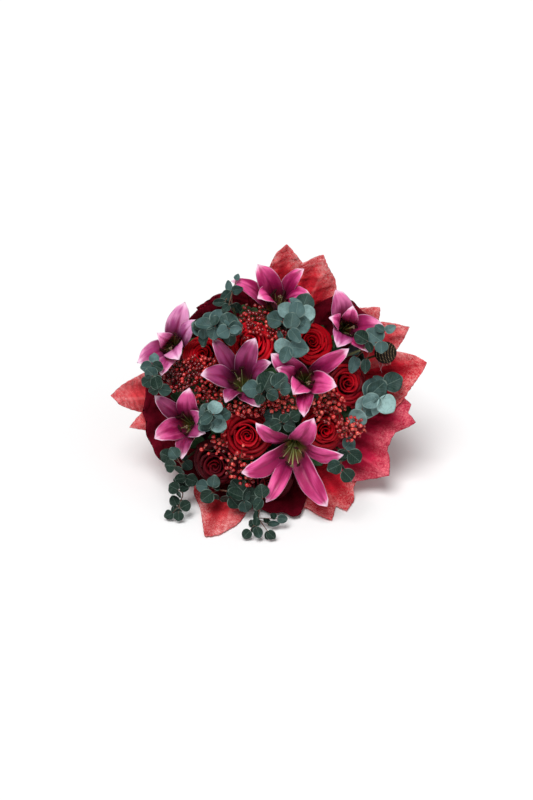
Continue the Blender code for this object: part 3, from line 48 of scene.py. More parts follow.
LEAN = 30.0                 # the axis of the lying bouquet above the surface
TIE_HEIGHT = 76.0           # the middle of the tie above the surface
SHIFT = (-11.0, 98.7)       # puts the middle of the bouquet's outline over the origin
DOME_TOP = 236.0            # from the tie to the top of the dome of flowers
DOME_RADIUS = 150.0
DOME_FALL = 48.0            # how much lower the dome is at its rim
STEM_END = -105.0           # where the stems are cut
STEM_TWIST = 40.0           # turn of the stems below the tie
STEM_SPREAD = 2.05          # how much wider the stems stand at their cut ends than at the tie
PAPER_THICK = 0.7           # the solids' thicknesses, which set how the layers lie round the tie
TWINE_THICK = 1.6
TWINE_GAP = 0.6             # from the stems to the twine
TWINE_HEIGHT = 6.0
RIBBON_HEIGHT = 14.0
BERRY_RADIUS = 3.1
SPRAY_STEM = 1.7            # radius of the stems of the sprays and of the seed head
RUN_STEP = 11.0             # between the bends of a spray's main twig
STALK_STEP = 2.6            # between the places that stalks leave a stem from
LEAF_LIFT = 3.4             # how far a leaf lies clear over what is under it
LEAF_REST = 12.0            # least height of a leaf's middle above the surface
CLEAR = 3.3                 # room kept between pieces of different sprays
FOLD_STEP = 12.0            # degrees between the creases of the paper

# The picture's scale, and the pixel that the bouquet's axis passes through.
MM_PER_PIXEL = 1.45
AXIS_COLUMN = 262.0
AXIS_ROW = 392.0

# Each lily: the foot of its flower on the face, how far the foot is sunk below the dome, and the
# six tips of its tepals.
LILIES = {
    "lily_top": ((24, 116), 60, ((-45, 161), (-6, 185), (61, 178), (71, 138), (41, 97), (-7, 134))),
    "lily_left": ((-130, 66), 45, ((-111, 130), (-92, 104), (-151, 85), (-180, 42), (-145, 23), (-119, 46))),
    "lily_middle_left": ((-27, 2), 60, ((-71, 77), (-9, 77), (14, 42), (-88, 24), (-52, -16), (-3, -22))),
    "lily_middle_right": ((62, 14), 56, ((13, 55), (20, 34), (125, 62), (107, 8), (60, -36), (44, -4))),
    "lily_right": ((116, 90), 48, ((106, 148), (96, 107), (176, 95), (153, 57), (108, 64), (131, 125))),
    "lily_lower_left": ((-100, -50), 58, ((-155, -5), (-104, 6), (-155, -67), (-115, -97), (-81, -60),
                                          (-84, -30))),
    "lily_bottom": ((48, -70), 50, ((-9, -44), (74, -37), (117, -90), (95, -166), (6, -160), (-30, -116))),
}
# Each rose: its middle on the face, its radius, and how far its top is below the dome.
ROSES = {
    "rose_left": ((-89, 57), 27, 17),
    "rose_top": ((-17, 73), 28, 6),
    "rose_top_right": ((75, 76), 26, 22),
    "rose_right": ((128, 14), 28, 8),
    "rose_middle": ((-22, -64), 30, 4),
    "rose_lower_right": ((95, -57), 28, 15),
    "rose_lower_left": ((-70, -110), 30, 8),
    "rose_bottom": ((12, -135), 28, 12),
}
# Each leafy spray: the points that its twig runs through and its leaves, both by picture column
# and row. A leaf also has its radius, its slope and, where it is not round, its width as a share of
# its length.
SPRAYS = {
    "eucalyptus_top": (((283, 343), (290, 330), (294, 316)), (
        (304, 304, 13, 20), (306, 315, 12, 35), (300, 326, 13, 30), (275, 320, 12, 25),
        (286, 311, 11, 15), (296, 312, 11, 10), (283, 347, 12, 25),
        (297, 349, 13, 20), (291, 323, 11, 15))),
    "eucalyptus_upper_left": (((206, 329), (218, 327), (230, 329)), (
        (201, 328, 12, 25), (211, 322, 12, 20), (220, 320, 13, 20), (229, 324, 13, 20),
        (235, 330, 10, 30), (205, 334, 9, 45, 0.9), (215, 333, 10, 35), (225, 333, 10, 35))),
    "eucalyptus_tip": (((232, 305), (231, 293), (236, 283)), (
        (237, 278, 5, 20, 0.8), (229, 287, 8, 20, 0.6), (227, 296, 9, 25, 0.8), (220, 303, 9, 25, 0.6),
        (236, 307, 8, 30, 0.9), (227, 309, 7, 30, 0.8))),
    "eucalyptus_left": (((161, 388), (154, 376), (154, 365)), (
        (155, 359, 7, 20), (148, 367, 8, 20), (158, 367, 8, 20), (153, 374, 9, 15),
        (149, 382, 8, 30), (158, 381, 8, 25), (166, 390, 9, 30, 0.9))),
    "eucalyptus_lower_left": (((213, 418),), (
        (210, 413, 14, 20), (219, 424, 11, 15), (225, 414, 9, 35), (206, 422, 10, 30),
        (216, 408, 11, 35, 0.9))),
    "eucalyptus_middle": (((266, 390),), (
        (252, 389, 12, 25), (267, 382, 14, 20), (279, 382, 12, 20), (260, 398, 9, 40, 0.8),
        (284, 389, 9, 30), (272, 395, 9, 30, 0.9))),
    "eucalyptus_centre": (((281, 420),), (
        (271, 416, 10, 30), (283, 416, 14, 15), (289, 425, 9, 30), (294, 416, 8, 35),
        (276, 424, 9, 30))),
    "eucalyptus_right": (((370, 396),), (
        (376, 390, 17, 15), (394, 382, 14, 20), (369, 406, 17, 25), (387, 404, 14, 25),
        (357, 401, 10, 35, 0.9), (359, 418, 13, 20), (385, 375, 11, 30))),
    "eucalyptus_upper_right": (((362, 352), (368, 344), (377, 339)), (
        (374, 337, 13, 15), (388, 330, 10, 30, 0.6), (361, 338, 11, 30, 0.9), (380, 347, 9, 30),
        (355, 363, 13, 25, 0.6), (366, 365, 11, 25, 0.6))),
    "eucalyptus_lower_right": (((343, 452), (341, 464)), (
        (350, 445, 10, 25), (355, 457, 11, 25), (334, 466, 10, 20), (346, 474, 10, 20),
        (340, 455, 9, 25))),
    "eucalyptus_trailing_left": (((182, 462), (178, 478), (182, 496), (176, 510)), (
        (165, 457, 10, 25), (175, 453, 9, 25), (172, 465, 9, 30), (186, 466, 8, 30),
        (182, 483, 11, 20), (173, 489, 9, 30), (190, 481, 9, 30),
        (173, 503, 8, 25, 0.9), (184, 507, 8, 25), (168, 516, 7, 20), (178, 517, 7, 20))),
    "eucalyptus_trailing_bottom": (((214, 491), (228, 493), (244, 496), (258, 508), (257, 524)), (
        (202, 487, 9, 25), (213, 483, 9, 25), (207, 497, 10, 25),
        (238, 488, 12, 20), (250, 497, 12, 25), (234, 503, 10, 25), (262, 491, 10, 30),
        (245, 507, 9, 30), (256, 517, 8, 10, 0.5), (247, 533, 7, 15), (258, 531, 8, 15, 0.8),
        (273, 524, 8, 10, 0.5), (282, 519, 7, 15, 0.9), (271, 534, 7, 15, 0.9))),
}
# Each spray of berries: its clusters, by picture column and row, with half width, half height, in
# pixels, and the number of berries.
BERRIES = {
    "berries_top": ((252, 323, 13, 13, 9), (277, 335, 6, 4, 2)),
    "berries_left": ((177, 376, 15, 10, 9),),
    "berries_middle_left": ((210, 392, 14, 13, 8), (197, 366, 14, 7, 4)),
    "berries_middle": ((246, 409, 13, 6, 4), (281, 402, 15, 7, 6)),
    "berries_right": ((330, 406, 11, 13, 9), (352, 429, 10, 8, 4)),
    "berries_lower_left": ((226, 447, 17, 9, 4), (242, 472, 12, 12, 5)),
}
SEED_HEAD = ((181, 58), 16.5)  # its middle on the face, and its radius
SEED_DEPTH = 9                 # from its stem's end to its widest part
# Each sheet of paper: the outline of its upper edge by angle round the axis and distance from it.
SHEETS = {
    "paper_left": ((158, 150), (170, 172), (181.5, 219), (185.5, 205), (189.5, 175), (194.8, 200), (199, 172),
                   (207, 165)),
    "paper_top": ((48, 170), (54.5, 184), (66, 216), (72.5, 195), (80.5, 215), (84.5, 200), (90, 160),
                  (97, 150)),
    "paper_upper_right": ((12, 190), (17, 201), (23.8, 230), (28, 212), (31.2, 196), (35.7, 209), (41, 186),
                          (52, 175)),
    "paper_right": ((-10, 185), (-3, 202), (6.5, 229), (10.3, 238), (14.3, 223), (17.5, 200), (25, 180)),
    "paper_lower_right": ((-45, 185), (-39, 199), (-33, 221), (-25, 199), (-17, 200), (-11.2, 225), (-8, 212),
                          (-4.6, 215), (0, 195)),
    "paper_bottom_right": ((-79, 165), (-69, 180), (-61.3, 208), (-57, 196), (-54.5, 210), (-49.6, 206),
                           (-46.5, 193), (-36, 180)),
    "paper_bottom_left": ((-126, 168), (-118, 191), (-111.6, 217), (-107, 211), (-100, 189), (-97, 172),
                          (-88, 160)),
}
# The dark collar, lower at the top and on the right where the bright sheets show, and the room that
# is kept for the paper. Both start alike on the left.
COLLAR_LEFT = ((-262, 160), (-248, 153), (-228, 151), (-205, 153), (-190, 165), (-163, 176), (-148.6, 178),
               (-135, 165), (-118, 162), (-90, 168), (-72.6, 183))
COLLAR = (*COLLAR_LEFT, (-62, 150), (-50, 128), (-30, 124), (0, 128), (20, 140), (30, 165), (35.8, 188),
          (41, 185), (52, 180), (59, 146), (76, 142), (90, 152), (98, 158), (128, 155))
PAPER_ROOM = (*COLLAR_LEFT, (-55, 175), (-30, 170), (0, 168), (20, 175), (35.8, 191), (41, 185), (54, 184),
              (70, 165), (98, 158), (128, 155))


# Shapes in the bouquet's frame

def unit(vectors):
    """Each vector divided by its length."""
    return vectors / np.maximum(norm(vectors, axis=-1, keepdims=True), 1e-9)


def on_face(column, row):
    """A picture pixel as a place on the face of the bouquet."""
    return np.array([(column - AXIS_COLUMN) * MM_PER_PIXEL, (AXIS_ROW - row) * MM_PER_PIXEL])


def dome(spot):
    """Height of the dome of flowers: its top less a fall that grows with the square of the radius."""
    return DOME_TOP - DOME_FALL * np.dot(spot, spot) / DOME_RADIUS ** 2


def to_world(points):
    """Turns the face forward and up by the lean, lifts the tie to its height, and shifts the outline."""
    u, v, w = np.moveaxis(np.asarray(points, float), -1, 0)
    lean = radians(LEAN)
    return np.stack([
        u + SHIFT[0],
        v * sin(lean) - w * cos(lean) + SHIFT[1],
        v * cos(lean) + w * sin(lean) + TIE_HEIGHT,
    ], axis=-1)


def floor_height(points):
    """Height above the surface of points in the bouquet's frame."""
    return to_world(points)[..., 2]


def bezier(p0, p1, p2, p3, t):
    """Cubic Bezier curve at the parameters t."""
    t = np.asarray(t)[:, None]
    return (1 - t) ** 3 * p0 + 3 * (1 - t) ** 2 * t * p1 + 3 * (1 - t) * t ** 2 * p2 + t ** 3 * p3


# Lilies

LILY_RING = 4.6             # middle of the ring that the tepals grow from
CHORD, CHORD_GROWTH = 84, 0.27  # from a tepal's foot to its tip, and how it grows with the tip's reach
LEAST_DEPTH = 38.0          # of a lily, from its foot to its tips
TEPAL_WIDTHS = (17.0, 12.5)  # half widths of the three inner and the three outer tepals
TEPAL_CELLS = (4, 2)        # a solid tepal's facets along and across
PETAL_CELLS = (3, 2)        # a solid rose petal's
FILAMENT_GAP = 2.6          # least distance of the filaments from the tepals


def lily_frame(name):
    """Foot, tips and axis of a lily: a tip stands out so far that foot and tip are a tepal's chord apart."""
    (u, v), sink, tips = LILIES[name]
    foot = np.array([u, v, dome((u, v)) - sink])
    tips = np.array(tips, float)
    reach = norm(tips - foot[:2], axis=1)
    chord = CHORD + CHORD_GROWTH * reach
    depth = np.sqrt(np.maximum(chord ** 2 - reach ** 2, LEAST_DEPTH ** 2))
    tips = np.column_stack([tips, foot[2] + depth])
    axis = unit((unit(tips - foot)).sum(axis=0))
    return foot, tips, axis


def tepal_order(foot, tips, axis):
    """Tips sorted round the axis, each with its own root direction, the six roots 60 degrees apart."""
    across = unit(np.cross([0.0, 1.0, 0.0], axis))
    up = np.cross(axis, across)
    arms = tips - foot
    angles = np.arctan2(arms @ up, arms @ across)
    order = np.argsort(angles)
    turns = np.arange(6) * pi / 3
    base = np.angle(np.exp(1j * (angles[order] - turns)).sum())
    return [(int(k), cos(base + turn) * across + sin(base + turn) * up)
            for k, turn in zip(order, turns)]


def tepal_surface(foot, axis, root, tip, outer, rows, columns, phase=0.0, shape=(1.4, 6.0)):
    """Middle surface of a tepal, rows from foot to tip by columns across.

    The spine is a Bezier curve that leaves the ring along the axis and arches over at the tip. Half
    the width is a share of its greatest that swells as a sine and closes at the tip, the edges stand
    up near the foot and turn back a little near the tip. The outer three are narrower and start
    further from the axis.
    """
    length = norm(tip - foot)
    half_width = TEPAL_WIDTHS[outer]
    start = foot + (LILY_RING + 1.0 * (2 * outer - 1)) * root
    lean_out = tip - foot - axis * np.dot(tip - foot, axis)
    out = unit(lean_out + 0.25 * norm(lean_out) * root + 4 * root)
    p1 = start + 0.42 * length * unit(0.95 * axis + (0.17 + 0.12 * outer) * root)
    p2 = tip - 0.34 * length * unit(out * 0.92 - axis * 0.30)
    t = np.linspace(0, 1, rows + 1)
    spine = bezier(start, p1, p2, tip, t)
    tangent = unit(np.gradient(spine, axis=0))
    blend = np.clip(t * 1.5, 0, 1)[:, None]
    side = unit(np.cross(axis, unit(root * (1 - blend) + out * blend)))
    side = unit(side - tangent * (side * tangent).sum(axis=1, keepdims=True))
    inner = unit(np.cross(side, tangent))
    inner *= np.sign(np.sum(inner * -unit(out - 1.2 * axis), axis=1, keepdims=True) + 1e-6)[0]
    swell = 0.10 + 0.90 * np.sin(pi * t ** 1.1) ** shape[0]
    width = half_width * swell * np.clip((1 - t) * shape[1], 0, 1) ** 0.55 + 0.4
    cup = (0.45 - 0.3 * outer) * (1 - t) ** 1.5 - 0.10 * np.sin(pi * t)
    x = np.linspace(-1, 1, columns + 1)
    lift = width[:, None] * cup[:, None] * x ** 2 + 0.9 * np.sin(9 * t[:, None] + phase) * x ** 3 * t[:, None]
    return (spine[:, None] + side[:, None] * (width[:, None] * x)[..., None]
            + inner[:, None] * lift[..., None])


def lily_tepals(name, rows, columns, shape=(1.4, 6.0)):
    """The six tepal surfaces of a lily."""
    foot, tips, axis = lily_frame(name)
    return [tepal_surface(foot, axis, root, tips[k], place % 2, rows, columns, place * 1.3, shape)
            for place, (k, root) in enumerate(tepal_order(foot, tips, axis))]


def lily_filaments(name, points):
    """Six filaments and, last, the pistil: each opens out from the axis as the power 1.6 of its height.

    Each takes the widest of a few spreads and turns that keep it clear of the tepals.
    """
    foot, tips, axis = lily_frame(name)
    tepals = np.concatenate([grid[8:].reshape(-1, 3) for grid in lily_tepals(name, 40, 10)])
    t = np.linspace(0, 1, points)[:, None]
    order = tepal_order(foot, tips, axis)
    wanted = [(58 - 5 * (place % 2), 13.5, root + 0.3 * unit(tips[k] - foot))
              for place, (k, root) in enumerate(order)] + [(72, 6.0, order[1][1] + order[2][1])]
    curves = []
    for height, spread, out in wanted:
        out = unit(out - axis * np.dot(out, axis))
        best = None
        for share in (1.0, 0.8, 0.6, 0.4, 0.2):
            for turn in (0.0, 0.25, -0.25, 0.5, -0.5):
                side = out * cos(turn) + np.cross(axis, out) * sin(turn)
                curve = foot + axis * (2 + (height - 2) * t) + side * (1.3 + spread * share * t ** 1.6)
                gap = norm(along(curve, 3.0)[3:, None] - tepals[None], axis=2).min()
                if best is None or gap > best[0] + 0.3:
                    best = (gap, curve)
                if gap > FILAMENT_GAP:
                    break
            if best[0] > FILAMENT_GAP:
                break
        curves.append(best[1])
    return curves


# Roses

ROSE_DEPTH = 1.52           # a rose's depth, to its radius
PETALS = (  # how many, their radius and height as shares of the rose's radius, and how far they fall back
    (5, 1.00, 1.30, 0.20),
    (3, 0.70, 1.50, 0.06),
)


def rose_frame(name):
    """Foot, axis and radius of a rose, which points away from the tie and a little to the viewer."""
    (u, v), radius, drop = ROSES[name]
    top = np.array([u, v, dome((u, v)) - drop])
    axis = unit(unit(top) + np.array([0, 0, 0.5]))
    return top - axis * radius * ROSE_DEPTH, axis, radius


def petal_surface(foot, axis, radius, shape, layer, place, rows, columns, half=52):
    """Middle surface of a rose petal, rows from foot to lip by columns across.

    The radius grows as a sine from the receptacle to the layer's own and leans out at the lip. One
    side of the petal lies outside its neighbour and the other inside, by a slope round the flower.
    """
    count, wide, tall, fall = shape
    across = unit(np.cross([0.0, 1.0, 0.0], axis))
    up = np.cross(axis, across)
    t = np.linspace(0, 1, rows + 1)[:, None]
    x = np.linspace(-1, 1, columns + 1)[None]
    middle = radians(360.0 * place / count + 31 * layer + 17)
    angle = middle + radians(half) * x * (0.25 + 0.75 * np.sqrt(t))
    lip = np.clip((t - 0.7) / 0.3, 0, 1)
    out = 4.0 + (wide * radius - 4.0) * np.sin(0.5 * pi * t ** 0.72) + fall * radius * lip ** 2 * 0.5
    out = out + 1.5 * x * np.clip(2 * t, 0, 1)
    high = tall * radius * (t - 0.10 * x ** 2 * t ** 2) - fall * radius * lip ** 2
    return (foot + axis * high[..., None] + across * (out * np.cos(angle))[..., None]
            + up * (out * np.sin(angle))[..., None])


# Paper

def support(stems, angle, level):
    """How far the stems reach at a height along the axis, in the direction of an angle."""
    reach = -1e9
    for stem in stems:
        place = stem_at(stem, level)
        slope = norm(stem_at(stem, level + 1) - place)
        reach = max(reach, place[0] * cos(angle) + place[1] * sin(angle)
                    + stem["radius"] * hypot(1, slope))
    return reach


def waist_reach(stems, degrees):
    """How far the stems reach over the height of the tie."""
    return max(support(stems, radians(degrees), level) for level in (-TWINE_HEIGHT / 2, TWINE_HEIGHT / 2))


SKIRT_END = -38.0           # where the paper ends below the tie
ROOM_START = 16.0           # where the room that is kept for the paper starts
RIM_START = 190.0           # where the paper bends out towards its rim
RIM_ROOM = 8.0              # least distance from there to the rim
RIM_SPREAD = 1.03           # the rim is further from the viewer than the flowers, and so looks smaller
WAIST = 17.0                # mean radius of the stems at the tie, with the twine
SKIRT = radians(18)         # how far the paper below the tie opens out
SHEET_OFFSET = 4.0          # from the collar's layer to the middle of a bright sheet's
SHEET_SLOPE = 0.062         # by which a bright sheet's layer changes with each degree
COLLAR_CLIMB = 1.3          # from the start of the collar to a full turn on
OUTER_OFFSET = 5.6          # of the layer that lies on the surface itself
PAPER_GAP = 1.1             # from the twine to the inmost paper
RIBBON_OFFSET = 7.7         # of the ribbon's layer, outside all sheets
LAYER_REST = 1.6            # height between layers on the surface, to their difference in offset
CREASES = np.random.default_rng(5).uniform(-1, 1, int(360 / FOLD_STEP))


def slope_angle(length):
    """Angle between the paper's run and the axis, by the distance along it from the tie."""
    degrees = (24 + 22 * np.minimum(length / 22, 1) + 5 * np.minimum(length / 250, 1)
               + 10 * np.maximum(length - 200, 0) / 120)
    return np.where(length < 0, -SKIRT, np.radians(degrees))


def paper_run():
    """Radius and height along the paper's run from the tie, every millimetre up to its longest tip."""
    angles = slope_angle(np.arange(0, 340))
    return [np.concatenate([[0], np.cumsum(part)[:-1]]) for part in (np.sin(angles), np.cos(angles))]


RUN = paper_run()


def crease_points(waists, crease, length, offset):
    """Points of creases by their number, their length from the tie and their layer's offset.

    The run starts at the stems' own outline and flares. Each crease stands a little further in or
    out, the lower rim sags on to the surface, and the offset, which grows with the length, keeps the
    layers apart.
    """
    at = np.maximum(length, 0)
    angle = slope_angle(length)
    radius, height = (np.interp(at, np.arange(len(part)), part) for part in RUN)
    out = radius + waists[crease % len(CREASES)] + np.maximum(-length, 0) * tan(SKIRT)
    high = height + np.minimum(length, 0)
    shift = CREASES[crease % len(CREASES)] * 7.0 * (at / 280) ** 1.3 + offset * (1 + 1.6 * (at / 250))
    out, high = out + shift * np.cos(angle), high - shift * np.sin(angle)
    degrees = crease * FOLD_STEP
    turn = np.radians(degrees)
    sag = (at / 270) ** 3 * (38 * np.exp(-(degrees_apart(degrees, -57) / 22) ** 2)
                             + 12 * np.exp(-(degrees_apart(degrees, -110) / 16) ** 2))
    return np.stack([out * np.cos(turn), out * np.sin(turn), high - sag], axis=-1)


def degrees_apart(a, b):
    """Difference of two angles, between -180 and 180."""
    return (a - b + 180) % 360 - 180


def lifted(points, offset):
    """Points of the paper, moved up the axis to rest on the surface, inner layers over outer ones."""
    below = PAPER_THICK / 2 + 0.05 + LAYER_REST * (OUTER_OFFSET - offset) - floor_height(points)
    points[..., 2] += np.maximum(below, 0) / sin(radians(LEAN))
    return points


def resting_creases(waists, crease, length, offset):
    """Points of creases, lifted on to the surface."""
    return lifted(crease_points(waists, crease, length, offset), offset)


def paper_points(waists, degrees, length, offset, creases=crease_points):
    """Points of the paper by angle, length and offset: it is flat between creases FOLD_STEP apart."""
    step = degrees / FOLD_STEP
    low = np.floor(step).astype(int)
    share = (step - low)[..., None]
    return (creases(waists, low, length, offset) * (1 - share)
            + creases(waists, low + 1, length, offset) * share)


def layer_offset(name, outline, degrees):
    """Layer of a sheet at an angle.

    The collar starts inside and ends outside its own start. The left side of a bright sheet lies
    under the next sheet, and its right side lies over the last one.
    """
    if name == "paper_collar":
        return COLLAR_CLIMB * (degrees - outline[0][0]) / 360
    return SHEET_OFFSET + SHEET_SLOPE * (degrees - (outline[0][0] + outline[-1][0]) / 2)


def paper_room():
    """Middle surface of the room kept for the paper: three rows up to the rim, a column at each crease."""
    waists = np.full(len(CREASES), WAIST + 4)
    angles, radii = zip(*PAPER_ROOM)
    lengths = np.arange(60.0, 335.0, 5.0)
    grid = []
    for degrees in (angles[0], *np.arange(-252.0, 121.0, FOLD_STEP), angles[-1]):
        offset = layer_offset("paper_collar", PAPER_ROOM, degrees)
        reach = np.hypot(*paper_points(waists, degrees, lengths, offset, resting_creases)[:, :2].T)
        top = np.interp(np.interp(degrees, angles, radii) * RIM_SPREAD, reach, lengths)
        rows = np.array([ROOM_START, min(RIM_START, top - RIM_ROOM), top])
        grid.append(paper_points(waists, degrees, rows, offset, resting_creases))
    return np.array(grid).transpose(1, 0, 2)


# Room for the sprays

CELL = 2.0                  # the bouquet's space is divided into cells of this size
LOW = np.array([-280.0, -280.0, -20.0])
CELLS = (280, 280, 190)
SPRAY_OWNER, BERRY_OWNER = 10, 40  # the owners of a cell are numbered up from these
NEWCOMER = 200              # an owner of nothing yet
CLOSED = -1                 # in a cell that is free to no owner
RING_GAP = 4.0              # between the rings on which a stem's head is looked for
NEAR_STARTS = 14            # how many of the nearest starts a leaf's twig may have
BERRY_DRAWS = 1500          # most places that are tried for the berries of a cluster
BERRY_AIR = 1.4             # between a berry and the stalk of another
BERRY_STEM_DEPTH = 24       # from the dome down to the head of a berry spray's stem


class Room:
    """Which cells of the bouquet's space are taken and by whom, and the highest thing over each spot."""

    def __init__(self):
        self.taken = np.zeros(CELLS, np.int16)
        self.top = np.full(CELLS[:2], -50.0)
        span = np.arange(-2, 3)
        ball = np.stack(np.meshgrid(span, span, span, indexing="ij"), -1).reshape(-1, 3)
        self.ball = ball[norm(ball, axis=1) * CELL <= CLEAR]

    def cells(self, points):
        """The cell of each point."""
        cells = np.floor((np.reshape(points, (-1, 3)) - LOW) / CELL).astype(int)
        return np.clip(cells, 2, np.array(CELLS) - 3)

    def mark(self, points, owner):
        """Takes the cells within the clear distance of the points, and closes those that two owners want."""
        points = np.reshape(points, (-1, 3))
        cells = np.unique((self.cells(points)[:, None] + self.ball).reshape(-1, 3), axis=0)
        now = self.taken[tuple(cells.T)]
        self.taken[tuple(cells.T)] = np.where((now == 0) | (now == owner), owner, CLOSED)
        spots = self.cells(points)[:, :2]
        for du in (0, 1):
            for dv in (0, 1):
                np.maximum.at(self.top, (spots[:, 0] + du, spots[:, 1] + dv), points[:, 2])

    def open_to(self, points, owner):
        """Whether each point is clear of everything but its owner's own pieces."""
        found = self.taken[tuple(self.cells(points).T)]
        return (found == 0) | (found == owner)

    def free(self, points, owner):
        """Whether all the points are clear of everything but their owner's own pieces."""
        return bool(np.all(self.open_to(points, owner)))

    def above(self, points):
        """How far the points must rise to lie clear over everything under them."""
        spots = self.cells(points)[:, :2]
        return float(np.max(self.top[spots[:, 0], spots[:, 1]] - np.reshape(points, (-1, 3))[:, 2]))


def finer(grid, down=8, across=8):
    """Points on the flat cells of a grid, so many to a cell down and across."""
    rows = np.linspace(0, grid.shape[0] - 1, (grid.shape[0] - 1) * down + 1)
    columns = np.linspace(0, grid.shape[1] - 1, (grid.shape[1] - 1) * across + 1)
    i = np.minimum(rows.astype(int), grid.shape[0] - 2)
    j = np.minimum(columns.astype(int), grid.shape[1] - 2)
    a, b = (rows - i)[:, None, None], (columns - j)[None, :, None]
    return (grid[i][:, j] * (1 - a) * (1 - b) + grid[i + 1][:, j] * a * (1 - b)
            + grid[i][:, j + 1] * (1 - a) * b + grid[i + 1][:, j + 1] * a * b)


def along(points, step=2.5):
    """Points every step along a polyline."""
    points = np.asarray(points, float)
    lengths = np.concatenate([[0], np.cumsum(norm(np.diff(points, axis=0), axis=1))])
    count = max(int(lengths[-1] / step), 1) + 1
    places = np.linspace(0, lengths[-1], count)
    return np.stack([np.interp(places, lengths, points[:, i]) for i in range(3)], axis=1)


def rise(start, head, level):
    """Place of a stem at a height: it leaves the tie steeply and leans out by a square of its height."""
    share = np.asarray(level / head[2])[..., None]
    return np.asarray(start) + (np.asarray(head)[:2] - start) * (0.45 * share + 0.55 * share ** 2)


def rise_curve(head):
    """A stem's curve from above the crowded tie to its head."""
    levels = np.arange(70.0, head[2], 3.0)
    return np.column_stack([rise(np.asarray(head)[:2] * 0.1, head, levels), levels])


def leaf_surface(leaf, rings=7, around=40):
    """Middle surface of a leaf: an ellipse with its rim raised over its middle as a shallow cup."""
    turn = np.linspace(0, 2 * pi, around, endpoint=False)
    share = np.linspace(0, 1, rings + 1)[1:, None]
    flat = (leaf["long"] * (share * np.cos(turn))[..., None] * leaf["radius"]
            + leaf["side"] * (share * np.sin(turn))[..., None] * leaf["radius"] * leaf["narrow"])
    cup = leaf["normal"] * (share ** 2 * leaf["radius"] * leaf["cup"] * np.ones_like(turn))[..., None]
    return np.concatenate([leaf["middle"][None], (leaf["middle"] + flat + cup).reshape(-1, 3)])


def make_leaf(middle, away, radius, slope, narrow, draw):
    """A leaf that faces the viewer, sloping down away from its twig."""
    away = np.array([away[0], away[1], 0.0])
    away = unit(away) if norm(away) > 0.5 else np.array([1.0, 0.0, 0.0])
    swing = draw.uniform(-0.35, 0.35)
    away = np.array([away[0] * cos(swing) - away[1] * sin(swing),
                     away[0] * sin(swing) + away[1] * cos(swing), 0.0])
    tilt = radians(slope + draw.uniform(-6, 6))
    normal = unit(sin(tilt) * away + np.array([0, 0, cos(tilt)]))
    long = unit(away - normal * np.dot(away, normal))
    return {"middle": np.array(middle, float), "long": long, "side": np.cross(normal, long), "normal": normal,
            "radius": radius, "narrow": narrow, "cup": draw.uniform(0.10, 0.24)}


def paper_height(radius):
    """Height of the plain paper cone at a radius."""
    return float(np.interp(radius - WAIST, RUN[0], RUN[1]))


def resting_height(spot):
    """Lowest height at which a leaf may lie: on the dome's rim, over the paper and over the surface."""
    radius = np.hypot(*spot)
    low = dome(spot) - 14
    if radius < 205:
        low = max(low, paper_height(radius) + 17)
    lean = radians(LEAN)
    on_surface = -(spot[1] * cos(lean) + TIE_HEIGHT - LEAF_REST) / sin(lean)
    return max(low, on_surface, 165.0 if radius > 190 else 0.0)


def rings_round(spot, reach):
    """Places on rings RING_GAP apart round a spot, the inmost first, each with the radius of its ring."""
    for ring in np.arange(0, reach + 1, RING_GAP):
        for turn in np.arange(0, 2 * pi, pi / 5 if ring else 7):
            yield ring, spot[0] + ring * cos(turn), spot[1] + ring * sin(turn)


def column_for(room, owner, spot, height, twig_ends, reach=26.0):
    """The free stem nearest a spot that most twigs can leave from: tried on rings round the spot."""
    best = None
    for ring, u, v in rings_round(spot, reach):
        for drop in (0.0, 7.0, 14.0):
            head = np.array([u, v, height - drop])
            if not room.free(rise_curve(head), owner):
                continue
            blocked = sum(not room.free(along([head, end])[1:], owner) for end in twig_ends)
            score = blocked * 30 + ring + drop * 0.6
            if best is None or score < best[0]:
                best = (score, head)
    return None if best is None else best[1]


def lay_run(room, owner, spots):
    """The bends of a spray's main twig, raised over what is under them, with no steep falls between."""
    points = along([[*spot, resting_height(spot) - 6] for spot in spots], RUN_STEP)
    pairs = [points[i:i + 2] * [1, 1, 0] for i in range(1, len(points) - 1)]
    for i, need in enumerate([room.above(along(pair, 2.0)) + LEAF_LIFT for pair in pairs]):
        points[i + 1:i + 3, 2] = np.maximum(points[i + 1:i + 3, 2], need)
    for i in [*range(2, len(points)), *range(len(points) - 2, 0, -1)]:
        near = [points[k, 2] for k in (i - 1, i + 1) if 0 < k < len(points)]
        points[i, 2] = max(points[i, 2], max(near) - RUN_STEP)
    room.mark(along(points[1:]), owner)
    return points


def twig_way(room, owner, root, starts):
    """The first clear way to a leaf's root from the nearest starts, straight or bent up, and its start."""
    order = sorted(range(len(starts)), key=lambda k: norm(starts[k] - root))[:NEAR_STARTS]
    for bend in (None, 9.0, 18.0):
        for k in order:
            way = [starts[k]] if bend is None else [starts[k], (starts[k] + root) / 2 + [0, 0, bend]]
            if room.free(along([*way, root]), owner):
                return way, k
    return None, None


